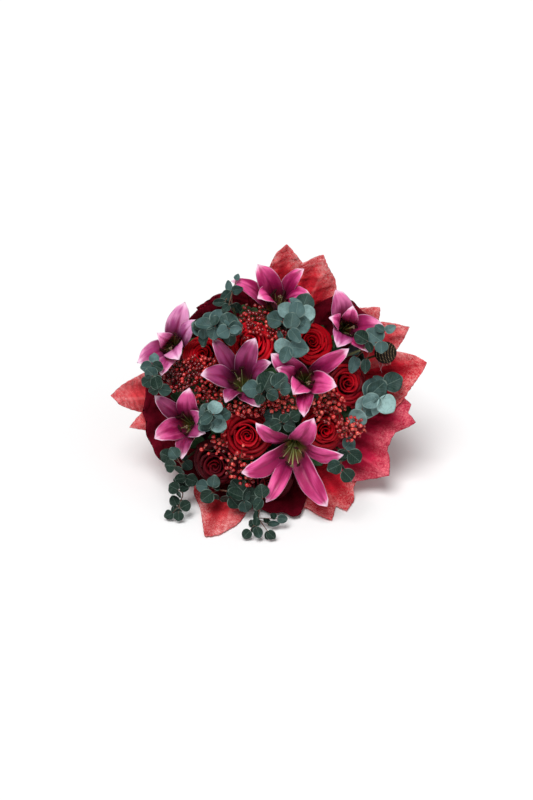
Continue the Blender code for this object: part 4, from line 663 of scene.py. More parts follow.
def grow_spray(room, owner, name):
    """Lays a leafy spray's leaves over what is under them, and finds its stem, its run and its twigs."""
    run, leaves = SPRAYS[name]
    draw = np.random.default_rng(owner)
    spots = [on_face(*pixel) for pixel in run]
    points = lay_run(room, owner, spots) if len(run) > 1 else None
    laid = []
    for column, row, radius, slope, *narrow in leaves:
        spot = on_face(column, row)
        away = spot - min(spots, key=lambda p: np.hypot(*(p - spot)))
        leaf = make_leaf([*spot, resting_height(spot)], away, radius, slope, *(narrow or (1.0,)), draw)
        leaf["middle"][2] += max(room.above(leaf_surface(leaf)) + LEAF_LIFT, 0)
        room.mark(leaf_surface(leaf), owner)
        laid.append(leaf)
    if points is None:
        ends = [leaf_root(leaf) for leaf in laid[:6]]
        level = float(np.mean([leaf["middle"][2] for leaf in laid]))
    else:
        ends, level = [points[1]], points[1][2]
    head = column_for(room, owner, spots[0], level - 6, ends)
    if head is None:
        head = column_for(room, owner, spots[0], level - 30, [], 60.0)
    if points is None:
        starts = list(stem_starts(head, 16))
    else:
        points[0] = head
        shares = (0.14, 0.32, 0.5, 0.68, 0.86)
        starts = list(np.concatenate([points[:-1] * (1 - share) + points[1:] * share for share in shares]))
        room.mark(along(points), owner)
    room.mark(along(rise_curve(head)), owner)
    twigs, kept = [], []
    for leaf in laid:
        root = leaf_root(leaf)
        way, chosen = twig_way(room, owner, root, starts)
        if way:
            twigs.append(np.array([*way, root + leaf["long"] * 2.5]))
            starts.pop(chosen)
            room.mark(along(twigs[-1]), owner)
            kept.append(leaf)
    return {"name": name, "radius": SPRAY_STEM, "head": head, "run": points, "leaves": kept, "twigs": twigs}


def stem_starts(head, count):
    """Places down a stem from which its side stalks leave, STALK_STEP apart."""
    levels = head[2] - 2.0 - STALK_STEP * np.arange(count)
    return np.column_stack([rise(head[:2] * 0.1, head, levels), levels])


def on_path(path, point):
    """The nearest point to a given one on a polyline."""
    best = None
    for a, b in zip(path[:-1], path[1:]):
        share = np.clip(np.dot(point - a, b - a) / np.dot(b - a, b - a), 0, 1)
        near = a + (b - a) * share
        if best is None or norm(near - point) < norm(best - point):
            best = near
    return best


def leaf_root(leaf):
    """Where a leaf's twig meets its rim."""
    return (leaf["middle"] - leaf["long"] * leaf["radius"] * 0.97
            + leaf["normal"] * leaf["radius"] * leaf["cup"] * 0.94)


def grow_berries(room, owner, name):
    """Draws berries in each cluster's ellipse, each kept if it and its stalk are clear of everything."""
    draw = np.random.default_rng(100 + owner)
    knob = np.concatenate([[[0, 0, 0]], np.eye(3), -np.eye(3)]) * BERRY_RADIUS
    stem = None
    berries, stalks, links = [], [], []
    for column, row, *size, count in BERRIES[name]:
        spot = on_face(column, row)
        height = dome(spot) - BERRY_STEM_DEPTH
        if stem is None:
            stem = column_for(room, owner, spot, height, [], 34.0)
            room.mark(along(rise_curve(stem)), owner)
            starts = stem_starts(stem, count)
        else:
            levels = np.linspace(100, stem[2], 12)
            sources = np.column_stack([rise(stem[:2] * 0.1, stem, levels), levels])
            for _, u, v in rings_round(spot, 29.0):
                hub = np.array([u, v, height - 8])
                clear = [source for source in sources if room.free(along([source, hub]), owner)]
                if clear:
                    break
            else:
                continue
            source = min(clear, key=lambda s: norm(s - hub))
            links.append(np.array([source, hub]))
            room.mark(along(links[-1]), owner)
            back = unit(source - hub)
            starts = hub + back + back * STALK_STEP * np.minimum(np.arange(count), 4)[:, None]
        found, ways = 0, [np.full((1, 3), 1e4)]
        for _ in range(BERRY_DRAWS):
            if found == count:
                break
            turn, far = draw.uniform(0, 2 * pi), sqrt(draw.uniform(0, 1))
            at = spot + np.array([size[0] * cos(turn), size[1] * sin(turn)]) * far * MM_PER_PIXEL
            at = np.array([*at, dome(at) - 2 + draw.uniform(-12, 7)])
            way = along([starts[found], at])
            own = np.array(berries + [[0, 0, 1e4]])
            if (norm(own - at, axis=1).min() < 2 * BERRY_RADIUS + 1.0
                    or norm(own[:, None] - way, axis=2).min() < BERRY_RADIUS + BERRY_AIR
                    or norm(np.concatenate(ways) - at, axis=1).min() < BERRY_RADIUS + BERRY_AIR
                    or not room.free(at + knob, owner) or not room.free(way, owner)):
                continue
            ways.append(way[3:])
            berries.append(at)
            stalks.append(np.array([starts[found], at]))
            found += 1
    for at, stalk in zip(berries, stalks):
        room.mark(np.concatenate([at + knob, along(stalk)]), owner)
    return {"name": name, "radius": SPRAY_STEM, "head": stem, "stalks": stalks, "links": links}


# Stems

STEM_LEVELS = (STEM_END, 0.0, 20.0, 45.0, 110.0)
STEM_GAP = 0.55             # between stems at the tie
STEM_FREE = 9               # length under its head in which a stem is not parted from the others
SLOT_SHARE = 0.115          # where the packing of the stems starts, to their heads' distance from the axis
SLOT_PULL = 0.012           # how strongly the packing draws the stems together at each step
STEM_REST = 0.1             # from the surface to the lowest stems
MARCH = 5.0                 # step in height at which the stems are parted
LILY_STEM = 3.0             # radius of these stems
ROSE_STEM = 2.5


def stem_at(stem, level):
    """Place of a stem at a height: straight to its end below the tie, above it through its knots."""
    if level < 0:
        return stem["slot"] + (stem["end"] - stem["slot"]) * level / STEM_END
    return np.array([np.interp(level, stem["levels"], stem["places"][:, i]) for i in (0, 1)])


def stem_end(stem):
    """Where a stem is cut: below the tie all turn and spread alike, and the lowest rest on the surface."""
    turn = radians(STEM_TWIST)
    x, y = stem["slot"] * STEM_SPREAD
    end = np.array([x * cos(turn) - y * sin(turn), x * sin(turn) + y * cos(turn)])
    below = stem["radius"] + STEM_REST - floor_height([*end, STEM_END])
    return end + [0, max(below, 0) / cos(radians(LEAN))]


def push_apart(places, wanted):
    """Moves each pair of places that are nearer than wanted half the way apart."""
    away = places[:, None] - places[None]
    gap = norm(away, axis=2) + np.eye(len(places)) * 1e6
    short = np.maximum(wanted - gap, 0)
    return places + (away / gap[..., None] * (short / 2)[..., None]).sum(axis=1)


def pack_stems(stems):
    """Packs the stems at the tie and parts them at each height above it.

    The first packing follows the heads. Each later one follows the stems' own places at the first
    level over the tie, so that no two stems cross on the way.
    """
    radii = np.array([stem["radius"] for stem in stems])
    heads = np.array([stem["head"] for stem in stems])
    wanted = (radii[:, None] + radii[None] + STEM_GAP) * (1 - np.eye(len(stems)))
    slots = heads[:, :2] * SLOT_SHARE
    for _ in range(4):
        for turn in range(700):
            slots = push_apart(slots * (1 - (SLOT_PULL if turn < 500 else 0.0)), wanted)
        for stem, slot in zip(stems, slots):
            stem["slot"] = slot
            stem["end"] = stem_end(stem)
            stem["levels"] = [level for level in STEM_LEVELS if 0 <= level < stem["head"][2] - STEM_FREE]
            stem["levels"].append(stem["head"][2])
            stem["places"] = np.array([rise(slot, stem["head"], level) for level in stem["levels"]])
        march(stems, wanted)
        slots = np.array([stem["places"][2] for stem in stems]) * 0.5


def march(stems, wanted):
    """Carries the stems up from the tie in small steps, parting them at each."""
    places = np.array([stem["slot"] for stem in stems])
    for level in np.arange(MARCH, STEM_LEVELS[-1] + 1, MARCH):
        there = [i for i, stem in enumerate(stems) if level < stem["head"][2] - STEM_FREE]
        aim = np.array([rise(stem["slot"], stem["head"], level) for stem in stems])
        places += aim - np.array([rise(stem["slot"], stem["head"], level - MARCH) for stem in stems])
        for turn in range(60):
            pulled = places[there] + (aim - places)[there] * (0.06 if turn < 40 else 0.0)
            places[there] = push_apart(pulled, wanted[np.ix_(there, there)])
        for i in there:
            if level in stems[i]["levels"]:
                stems[i]["places"][stems[i]["levels"].index(level)] = places[i]


def stem_path(stem, to_head=True):
    """A stem's points from its cut end to its head."""
    points = [[*stem_at(stem, level), level] for level in STEM_LEVELS if level < 0]
    points += [[*place, level] for place, level in zip(stem["places"], stem["levels"])]
    return np.array(points if to_head else points[:-1])


def arrange():
    """Places every piece of the bouquet.

    What is laid first takes its room first: flowers, their stems, the paper, the seed head, then the
    sprays of leaves and of berries.
    """
    room = Room()
    stems = []
    for name in LILIES:
        foot, _, axis = lily_frame(name)
        for surface in lily_tepals(name, 44, 12) + [finer(grid) for grid in lily_tepals(name, *TEPAL_CELLS)]:
            room.mark(surface, CLOSED)
        for curve in lily_filaments(name, 26):
            room.mark(curve, CLOSED)
        stems.append({"name": name, "radius": LILY_STEM, "head": foot - axis * 6})
    for name in ROSES:
        foot, axis, radius = rose_frame(name)
        for layer, shape in enumerate(PETALS):
            for place in range(shape[0]):
                petal = (foot, axis, radius, shape, layer, place)
                room.mark(petal_surface(*petal, 24, 20), CLOSED)
                room.mark(finer(petal_surface(*petal, *PETAL_CELLS)), CLOSED)
        stems.append({"name": name, "radius": ROSE_STEM, "head": foot - axis * 11})
    for stem in stems:
        room.mark(rise_curve(stem["head"]), CLOSED)
    room.mark(finer(paper_room(), 60, 14), CLOSED)
    (u, v), size = SEED_HEAD
    height = max(dome((u, v)), paper_height(hypot(u, v)) + 24)
    seed = {"name": "seed_head", "radius": SPRAY_STEM, "head": np.array([u, v, height - SEED_DEPTH])}
    disc = leaf_surface(make_leaf([u, v, height], (1, 0), size + 2, 0, 1, np.random.default_rng(0)), 9, 40)
    room.mark(np.concatenate([disc, disc - [0, 0, SEED_DEPTH]]), CLOSED)
    room.mark(rise_curve(seed["head"]), CLOSED)
    sprays = [grow_spray(room, SPRAY_OWNER + k, name) for k, name in enumerate(SPRAYS)]
    berries = [grow_berries(room, BERRY_OWNER + k, name) for k, name in enumerate(BERRIES)]
    stems += [seed, *sprays, *berries]
    pack_stems(stems)
    waists = np.array([waist_reach(stems, degrees) for degrees in np.arange(0, 360, FOLD_STEP)])
    return stems, waists + TWINE_GAP + TWINE_THICK + PAPER_GAP + PAPER_THICK / 2, sprays, berries, seed, room


def grid_normals(grid):
    """Unit normals of a grid of points."""
    return unit(np.cross(np.gradient(grid, axis=0), np.gradient(grid, axis=1)))


# Fine surfaces, in the bouquet's frame

PETAL_FINE = 0.9            # thickness of the visible petals, leaves and paper
LEAF_FINE = 0.6
PAPER_FINE = 0.4
UP = np.array([0.0, 0.0, 1.0])


def ramp(values, low, high):
    """Rises smoothly from 0 at low to 1 at high."""
    share = np.clip((values - low) / (high - low), 0, 1)
    return share * share * (3 - 2 * share)


def wrinkle(x, y, seed, waves=7, spread=1.0):
    """Crumpled relief between about -1 and 1: a sum of folded waves, each in its own direction."""
    draw = np.random.default_rng(seed)
    total = np.zeros(np.broadcast(x, y).shape)
    for number in range(waves):
        turn, shift = draw.uniform(0, 2 * pi, 2)
        pace = spread * 1.35 ** number
        wave = np.sin((x * cos(turn) + y * sin(turn)) * pace + shift
                      + 0.8 * np.sin((y * cos(turn) - x * sin(turn)) * pace * 0.7 + 2 * shift))
        total = total + (1 - 2 * np.abs(wave)) / 1.25 ** number
    return total / 2.6


def draw_for(name):
    """A seeded source of random numbers for a piece."""
    return np.random.default_rng(sum(map(ord, name)))


def parameters(rows, columns):
    """Across from -1 to 1 and along from 0 to 1, over a grid."""
    along_it = np.broadcast_to(np.linspace(0, 1, rows)[:, None], (rows, columns))
    across = np.broadcast_to(np.linspace(-1, 1, columns)[None], (rows, columns))
    return across, along_it


def quads(index):
    """Four-cornered faces between neighbouring points of a grid of point numbers."""
    return np.stack([index[:-1, :-1], index[1:, :-1], index[1:, 1:], index[:-1, 1:]], -1).reshape(-1, 4)


class Piece:
    """Points, faces and places of one visible piece, gathered surface by surface.

    A point's place is how far across and how far along its surface it is, its tone, which on some pieces
    carries their painted light and shade, and 1 on the back of a blade, 0 on its front.
    """

    def __init__(self):
        self.points, self.faces, self.places, self.count = [], [], [], 0

    def add(self, points, faces, places):
        """Takes a closed surface, turning its faces round if it is inside out."""
        middle = points.mean(axis=0)
        arms = [points[f] - middle for f in faces]
        volume = sum(np.sum(np.cross(arm[:, 0], arm[:, k]) * arm[:, k + 1])
                     for arm in arms for k in range(1, arm.shape[1] - 1))
        self.faces += [(f if volume > 0 else f[:, ::-1]) + self.count for f in faces]
        self.points.append(points)
        self.places.append(places)
        self.count += len(points)

    def blade(self, grid, thick, tone=0.5, taper=0.1, across=None, along_it=None):
        """A closed blade over a grid: two faces that round off and meet at the border."""
        rows, columns = grid.shape[:2]
        i = np.linspace(0, 1, rows)[:, None]
        j = np.linspace(0, 1, columns)[None]
        edge = np.clip(np.minimum(np.minimum(i, 1 - i), np.minimum(j, 1 - j)) / taper, 0, 1)
        half = (np.sqrt(1 - (1 - edge) ** 2) * thick / 2)[..., None]
        normal = grid_normals(grid)
        over = np.arange(rows * columns).reshape(rows, columns)
        under = over.copy()
        under[1:-1, 1:-1] = over.size + np.arange((rows - 2) * (columns - 2)).reshape(rows - 2, columns - 2)
        x, y = parameters(rows, columns)
        place = np.stack([x if across is None else across, y if along_it is None else along_it,
                          np.full(grid.shape[:2], tone), np.zeros(grid.shape[:2])], -1)
        back = place[1:-1, 1:-1].reshape(-1, 4).copy()
        back[:, 3] = 1.0
        upper, lower = grid + normal * half, (grid - normal * half)[1:-1, 1:-1]
        self.add(np.concatenate([upper.reshape(-1, 3), lower.reshape(-1, 3)]),
                 [quads(over), quads(under)[:, ::-1]], np.concatenate([place.reshape(-1, 4), back]))

    def tubes(self, paths, radii, sides, tone=0.5, upright=None):
        """Round bars: at each point of a path a ring of its radius, square to the path, with flat ends."""
        paths = np.asarray(paths, float)
        radii = np.broadcast_to(radii, paths.shape[:2])
        tangent = unit(np.gradient(paths, axis=1))
        run = unit(paths[:, -1] - paths[:, 0])
        least = np.eye(3)[np.abs(run).argmin(axis=1)][:, None] if upright is None else np.array(upright)
        side = unit(np.cross(tangent, least))
        other = np.cross(tangent, side)
        turn = np.arange(sides) * 2 * pi / sides
        rings = paths[:, :, None] + radii[..., None, None] * (
            side[:, :, None] * np.cos(turn)[:, None] + other[:, :, None] * np.sin(turn)[:, None])
        length = paths.shape[1]
        index = np.arange(length * sides).reshape(length, sides)
        skin = quads(np.column_stack([index, index[:, 0]]))[:, ::-1]
        share = np.broadcast_to(np.linspace(0, 1, length)[:, None], (length, sides))
        place = np.stack([np.broadcast_to(np.cos(turn), share.shape), share, np.full(share.shape, tone),
                          np.broadcast_to(np.sin(turn), share.shape)], -1).reshape(-1, 4)
        for bar in rings:
            self.add(bar.reshape(-1, 3), [skin, index[:1, ::-1], index[-1:]], place)

    def turned(self, feet, axes, profile, sides, tone=0.5):
        """Turned solids: each radius and height of the profile runs round the axis, between two poles."""
        feet, axes = np.atleast_2d(feet), unit(np.atleast_2d(axes))
        least = np.eye(3)[np.abs(axes).argmin(axis=1)]
        side = unit(np.cross(axes, least))
        other = np.cross(axes, side)
        radius, height = np.asarray(profile, float).T
        turn = np.arange(sides) * 2 * pi / sides
        round_it = side[:, None, None] * np.cos(turn)[:, None] + other[:, None, None] * np.sin(turn)[:, None]
        rings = (feet[:, None, None] + axes[:, None, None] * height[1:-1, None, None]
                 + radius[1:-1, None, None] * round_it)
        levels = len(profile) - 2
        index = 1 + np.arange(levels * sides).reshape(levels, sides)
        closed = np.column_stack([index, index[:, 0]])
        last = 1 + levels * sides
        faces = [quads(closed)[:, ::-1],
                 np.stack([np.zeros(sides, int), closed[0, 1:], closed[0, :-1]], -1),
                 np.stack([np.full(sides, last), closed[-1, :-1], closed[-1, 1:]], -1)]
        share = np.linspace(0, 1, levels + 2)
        place = np.zeros((last + 1, 4))
        place[1:-1] = np.stack([np.tile(np.cos(turn), levels), np.repeat(share[1:-1], sides),
                                np.zeros(levels * sides), np.tile(np.sin(turn), levels)], -1)
        place[-1, 1] = 1.0
        tones = np.broadcast_to(tone, len(feet))
        for k in range(len(feet)):
            place = place.copy()
            place[:, 2] = tones[k]
            self.add(np.concatenate([[feet[k] + axes[k] * height[0]], rings[k].reshape(-1, 3),
                                     [feet[k] + axes[k] * height[-1]]]), faces, place)

    def build(self, name, finish, slot, *nodes):
        """Makes the object, which rides on the bouquet's one body and stands for its nodes."""
        mesh = bpy.data.meshes.new(name)
        points = to_world(np.concatenate(self.points)) / 1000
        sizes = np.concatenate([np.full(len(f), f.shape[1]) for f in self.faces])
        corners = np.concatenate([f.ravel() for f in self.faces])
        mesh.vertices.add(len(points))
        mesh.vertices.foreach_set("co", points.ravel())
        mesh.loops.add(len(corners))
        mesh.loops.foreach_set("vertex_index", corners.astype(np.int32))
        mesh.polygons.add(len(sizes))
        mesh.polygons.foreach_set("loop_start", (np.cumsum(sizes) - sizes).astype(np.int32))
        mesh.polygons.foreach_set("use_smooth", np.ones(len(sizes), bool))
        mesh.update(calc_edges=True)
        place = mesh.attributes.new("place", "FLOAT_COLOR", "POINT")
        place.data.foreach_set("color", np.concatenate(self.places).astype(np.float32).ravel())
        mesh.materials.append(finish)
        item = bpy.data.objects.new(name, mesh)
        bpy.context.scene.collection.objects.link(item)
        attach(item, "root")
        if nodes:
            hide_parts(*nodes)
        return item


def smooth(path, rounds=3):
    """A path with its bends rounded: each point moves to the mean of itself and its neighbours."""
    path = np.array(path, float)
    for _ in range(rounds):
        path[1:-1] = path[1:-1] / 2 + (path[:-2] + path[2:]) / 4
    return path


def fine_path(points, step=3.0):
    """Evenly spaced points along a polyline with rounded bends."""
    return smooth(along(points, step))


def add_stem(piece, points, radius, sides, tone):
    """A stem along a path, its radius a little uneven, with faint knots."""
    path = fine_path(points)
    far = np.concatenate([[0], np.cumsum(norm(np.diff(path, axis=0), axis=1))])
    uneven = 1 + 0.035 * np.sin(far / 9) + 0.07 * np.exp(-((far % 46 - 23) / 2.2) ** 2)
    piece.tubes([path], (radius * uneven)[None], sides, tone)


def add_twig(piece, line, thick, thin, sides, tone):
    """A twig along a line, which narrows evenly from its foot to its end."""
    piece.tubes([line], np.linspace(thick, thin, len(line)), sides, tone)


# Dressing: lilies

ANTHER = (12.0, 1.9)       # length and radius
LILY_SHAPE = (0.72, 11.0)  # how full the tepals are and how blunt their tips
LILY_TONES = {"lily_left": 1.0, "lily_lower_left": 0.18, "lily_right": 0.85, "lily_middle_left": 0.12,
              "lily_middle_right": 0.4, "lily_top": 0.7}


def dress_lily(name, stem, room):
    """A lily's ruffled tepals, its stem with filaments and style, and its anthers."""
    foot, _, axis = lily_frame(name)
    draw = draw_for(name)
    petals = Piece()
    for place, grid in enumerate(lily_tepals(name, 47, 20, LILY_SHAPE)):
        room.mark(grid, CLOSED)
        x, t = parameters(*grid.shape[:2])
        wave = np.sin(2 * pi * 2.6 * t + draw.uniform(0, 6) + 0.6 * np.sign(x)) * np.abs(x) ** 4
        ruffle = (1.6 - 0.5 * (place % 2)) * wave * ramp(t, 0.25, 0.6) * (1 - ramp(t, 0.9, 1.0))
        rib = -0.9 * np.exp(-(x / 0.09) ** 2) * (1 - ramp(t, 0.7, 1.0)) * ramp(t, 0.0, 0.1)
        furrows = 0.12 * np.cos(x * 22) * np.sin(pi * t)
        petals.blade(grid + grid_normals(grid) * (ruffle + rib + furrows)[..., None], PETAL_FINE,
                     LILY_TONES.get(name, 0.5) + draw.uniform(-0.15, 0.15), 0.12)
    petals.build(name + "_petals", FINISHES["lily"], "lily_pink", name)
    stalk = Piece()
    add_stem(stalk, [*stem_path(stem), foot - axis * 4.0, foot + axis * 1.0], LILY_STEM, 12, 0.3)
    throat = [(0, -7), (3.4, -6.5), (5.4, -2.5), (6.6, 0.5), (4.6, 2.6), (2.2, 3.6), (0, 4.0)]
    stalk.turned(foot, axis, throat, 18, 0.6)
    *filaments, style = lily_filaments(name, 26)
    stalk.tubes(filaments, np.linspace(0.75, 0.42, 26), 8, 1.0)
    add_twig(stalk, style, 1.15, 0.95, 10, 1.2)
    end = style[-1]
    away = unit(end - style[-3])
    side = unit(np.cross(away, [0.3, 0.9, 0.2]))
    lobes = np.array([side * cos(turn) + np.cross(away, side) * sin(turn) for turn in (0.3, 2.4, 4.5)])
    stalk.turned(end - away * 0.6 + lobes * 1.0, away + lobes * 0.45,
                 [(0, 0), (1.1, 0.3), (1.5, 1.3), (1.3, 2.3), (0.7, 2.8), (0, 2.9)], 10, 1.4)
    stalk.build(name + "_stalk", FINISHES["stem"], "stem_green", name + "_stem")
    anthers = Piece()
    length, radius = ANTHER
    share = np.linspace(-1, 1, 11)
    girth = radius * np.sqrt(np.maximum(1 - share ** 4, 0.01))
    for number, curve in enumerate(filaments):
        end = curve[-1]
        run = unit(end - curve[-4])
        lie = unit(np.cross(run, axis) + 0.35 * run * (-1) ** number + 0.2 * draw.normal(size=3))
        out = unit(end - foot - axis * np.dot(end - foot, axis))
        bow = (out * 0.9) * (1 - share ** 2)[:, None]
        anthers.tubes([end + lie * share[:, None] * length / 2 + bow], [girth], 8, draw.uniform(0.2, 0.8))
    anthers.build(name + "_anthers", FINISHES["anther"], "seed_brown")


# Dressing: roses

# How lit each rose's petals are painted: low values give painted shade to the roses that lie in shade, and
# the others are painted at 0.75.
ROSE_PAINTED_LIGHT = {"rose_lower_left": 0.12, "rose_bottom": 0.12, "rose_right": 0.36, "rose_middle": 0.46,
              "rose_lower_right": 0.5}
FINE_PETALS = (  # how many, radius and height as shares, how far they fall back, half their width in degrees
    (5, 1.00, 1.24, 0.28, 54),
    (5, 0.82, 1.38, 0.24, 52),
    (4, 0.62, 1.48, 0.16, 62),
    (3, 0.43, 1.53, 0.09, 80),
    (3, 0.27, 1.55, 0.03, 84),
    (2, 0.14, 1.54, 0.01, 105),
)


def dress_rose(name, stem, room):
    """A rose's petals, rolled back at their lips and tighter towards the bud, and its stem with sepals."""
    foot, axis, radius = rose_frame(name)
    draw = draw_for(name)
    petals = Piece()
    tone = ROSE_PAINTED_LIGHT.get(name, 0.75)
    for layer, (count, size, high, fall, half) in enumerate(FINE_PETALS):
        for place in range(count):
            shape = (count, size * draw.uniform(0.92, 1.05), high * draw.uniform(0.93, 1.04),
                     fall * draw.uniform(0.6, 1.6))
            turn = layer * 1.7 + draw.uniform(-0.15, 0.15)
            grid = petal_surface(foot, axis, radius, shape, turn, place, 22, 22, half)
            x, t = parameters(*grid.shape[:2])
            out = unit(grid - foot - axis * ((grid - foot) @ axis)[..., None])
            lip = ramp(t, 0.62, 1.0)
            wave = 0.045 * radius * lip * np.sin(3.2 * x + draw.uniform(0, 6)) * (1 - layer / 10)
            curl = 0.10 * radius * ramp(t, 0.86, 1.0) * (1 - layer / 9)
            point = 0.05 * radius * np.exp(-(x / 0.22) ** 2) * ramp(t, 0.7, 1.0)
            drop = (0.07 * radius * ramp(t, 0.93, 1.0) * (1 - layer / 12)
                    + 0.05 * radius * draw.uniform(-1, 1) * lip)
            grid = grid + out * (wave + curl)[..., None] + axis * (point - drop)[..., None]
            petals.blade(grid, PETAL_FINE, tone + draw.uniform(-0.12, 0.12) + 0.04 * layer, 0.12)
            room.mark(grid, CLOSED)
    bud = [(0.26, 0.5), (0.12, 1.0), (0.05, 1.25), (0, 1.27)]
    # The bud at the middle is painted half a tone darker, as painted shade deep in the flower.
    petals.turned(foot, axis, [(0, -1.0), (4.6, -0.6), (7.0, 2.5), *(np.array(bud) * radius)], 20, tone - 0.5)
    petals.build(name + "_petals", FINISHES["rose"], "rose_red", name)
    stalk = Piece()
    add_stem(stalk, [*stem_path(stem), foot - axis * 5, foot - axis * 1.0], ROSE_STEM, 12, 0.15)
    hip = [(0, 0), (2.6, 0.2), (4.4, 2.5), (5.2, 5.2), (4.6, 7.6), (0, 7.9)]
    stalk.turned(foot - axis * 8.5, axis, hip, 16, 0.4)
    across = unit(np.cross([0.0, 1.0, 0.0], axis))
    up = np.cross(axis, across)
    x, t = parameters(16, 9)
    reach, wide = 4.2 + 20 * t, 3.4 * (1 - t) ** 0.7 + 0.2
    high = -2.5 + 3.0 * np.sin(pi * t * 0.8) - 9 * t ** 2 + 0.5 * x ** 2
    for turn in np.arange(5) * 2 * pi / 5 + draw.uniform(0, 1):
        out = across * cos(turn) + up * sin(turn)
        sepal = (foot + out * reach[..., None] + axis * high[..., None]
                 + np.cross(axis, out) * (wide * x)[..., None])
        stalk.blade(sepal, LEAF_FINE, 0.5)
    stalk.build(name + "_stalk", FINISHES["stem"], "stem_green", name + "_stem")


# Dressing: eucalyptus

LEAF_SPREAD = 1.1           # the visible leaves are so much wider than the solid ones
PARTNER_TRIES = 14          # most ways in which a leaf's partner is turned
PARTNER_GAP = 1.4           # least distance of its points from other leaves
COARSE_LEAF = (4, 14)       # rings and points round, in the tests for room
# How lit each spray's leaves are painted: low gives painted shade to the sprays deep between the flowers and
# trailing low, high is for the lit ones. Each leaf's tone also differs at random.
SPRAY_PAINTED_LIGHT = {
    "eucalyptus_middle": 0.15, "eucalyptus_centre": 0.10, "eucalyptus_left": 0.40, "eucalyptus_top": 0.70,
    "eucalyptus_right": 0.72, "eucalyptus_lower_left": 0.52, "eucalyptus_upper_left": 0.6,
    "eucalyptus_lower_right": 0.38, "eucalyptus_trailing_left": 0.0, "eucalyptus_trailing_bottom": 0.05,
    "eucalyptus_tip": 0.35, "eucalyptus_upper_right": 0.35}


def partner_leaf(leaf, draw, room, owner, others):
    """A leaf from just under another one's root, turned and tipped clear of its neighbours, or None."""
    root = leaf_root(leaf) - leaf["normal"] * 2.2 - leaf["long"]
    for _ in range(PARTNER_TRIES):
        turn = draw.choice((-1, 1)) * draw.uniform(0.5, 2.6)
        tip = draw.uniform(0.05, 1.1)
        flat = leaf["long"] * cos(turn) + leaf["side"] * sin(turn)
        long = flat * cos(tip) - leaf["normal"] * sin(tip)
        side = unit(np.cross(leaf["normal"], flat) + leaf["normal"] * draw.uniform(-0.5, 0.5))
        radius = leaf["radius"] * draw.uniform(0.7, 1.0)
        new = {"middle": root + long * radius, "long": long, "side": side, "normal": np.cross(long, side),
               "radius": radius, "narrow": draw.uniform(0.75, 0.95), "cup": draw.uniform(0.15, 0.35)}
        points = leaf_grid(new, *COARSE_LEAF, draw)[0][2:].reshape(-1, 3)
        if (floor_height(points).min() > 1.0 and room.free(points, owner)
                and norm(points[:, :2] - SEED_HEAD[0], axis=1).min() > SEED_HEAD[1]
                and norm(points[:, None] - others, axis=2).min() > PARTNER_GAP):
            return new, np.array([root, new["middle"] - long * radius * 0.9])
    return None


def leaf_grid(leaf, rings, around, draw):
    """A leaf as rings round its middle, with each point's share of its length and width.

    It is an ellipse with a wavy rim, notched at its root and tipped at its end, cupped and folded.
    """
    turn = np.linspace(0, 2 * pi, around + 1)
    share = np.linspace(0, 1, rings + 1)[:, None]
    rim = (1 + 0.10 * np.exp(-((turn + pi) % (2 * pi) - pi) ** 2 / 0.10)
           - 0.06 * np.exp(-(turn - pi) ** 2 / 0.04) + 0.02 * np.sin(3 * turn + draw.uniform(0, 6))
           + 0.012 * np.sin(5 * turn + draw.uniform(0, 6)))
    x = share * np.cos(turn) * rim
    y = share * np.sin(turn) * rim * (1 - 0.15 * x)
    wave = (0.09 * share ** 2 * np.sin(2 * turn + draw.uniform(0, 6))
            + 0.05 * share ** 3 * np.sin(5 * turn + draw.uniform(0, 6)))
    fold = draw.uniform(0.05, 0.24) * (np.sqrt(y ** 2 + 0.01) - 0.1)
    cup = share ** 2 * leaf["cup"] + wave + fold
    grid = leaf["middle"] + leaf["radius"] * LEAF_SPREAD * (
        leaf["long"] * x[..., None] + leaf["side"] * (y * leaf["narrow"])[..., None]
        + leaf["normal"] * cup[..., None])
    return grid, x, y


def add_leaf(piece, leaf, tone, draw, rings=10, around=36):
    """A leaf's closed blade: its two faces have a pole in the middle and meet at the rim."""
    grid, x, y = leaf_grid(leaf, rings, around, draw)
    share = np.linspace(0, 1, rings + 1)
    thick = np.sqrt(1 - np.clip((share - 0.8) / 0.2, 0, 1) ** 2) * LEAF_FINE / 2 + 0.02
    half = thick[:, None, None] * leaf["normal"]
    upper, lower = grid + half, grid - half
    points = np.concatenate([upper[:1, 0], lower[:1, 0], upper[1:, :-1].reshape(-1, 3),
                             lower[1:-1, :-1].reshape(-1, 3)])
    over = 2 + np.arange(rings * around).reshape(rings, around)
    under = 2 + rings * around + np.arange((rings - 1) * around).reshape(rings - 1, around)
    under = np.concatenate([under, over[-1:]])
    over, under = (np.column_stack([part, part[:, 0]]) for part in (over, under))
    faces = [quads(over)[:, ::-1], quads(under),
             np.stack([np.zeros(around, int), over[0, 1:], over[0, :-1]], -1),
             np.stack([np.ones(around, int), under[0, :-1], under[0, 1:]], -1)]
    place = np.stack([x, y, np.full(x.shape, tone), np.zeros(x.shape)], -1)
    back = place.copy()
    back[..., 3] = 1.0
    piece.add(points, faces, np.concatenate([place[:1, 0], back[:1, 0], place[1:, :-1].reshape(-1, 4),
                                             back[1:-1, :-1].reshape(-1, 4)]))


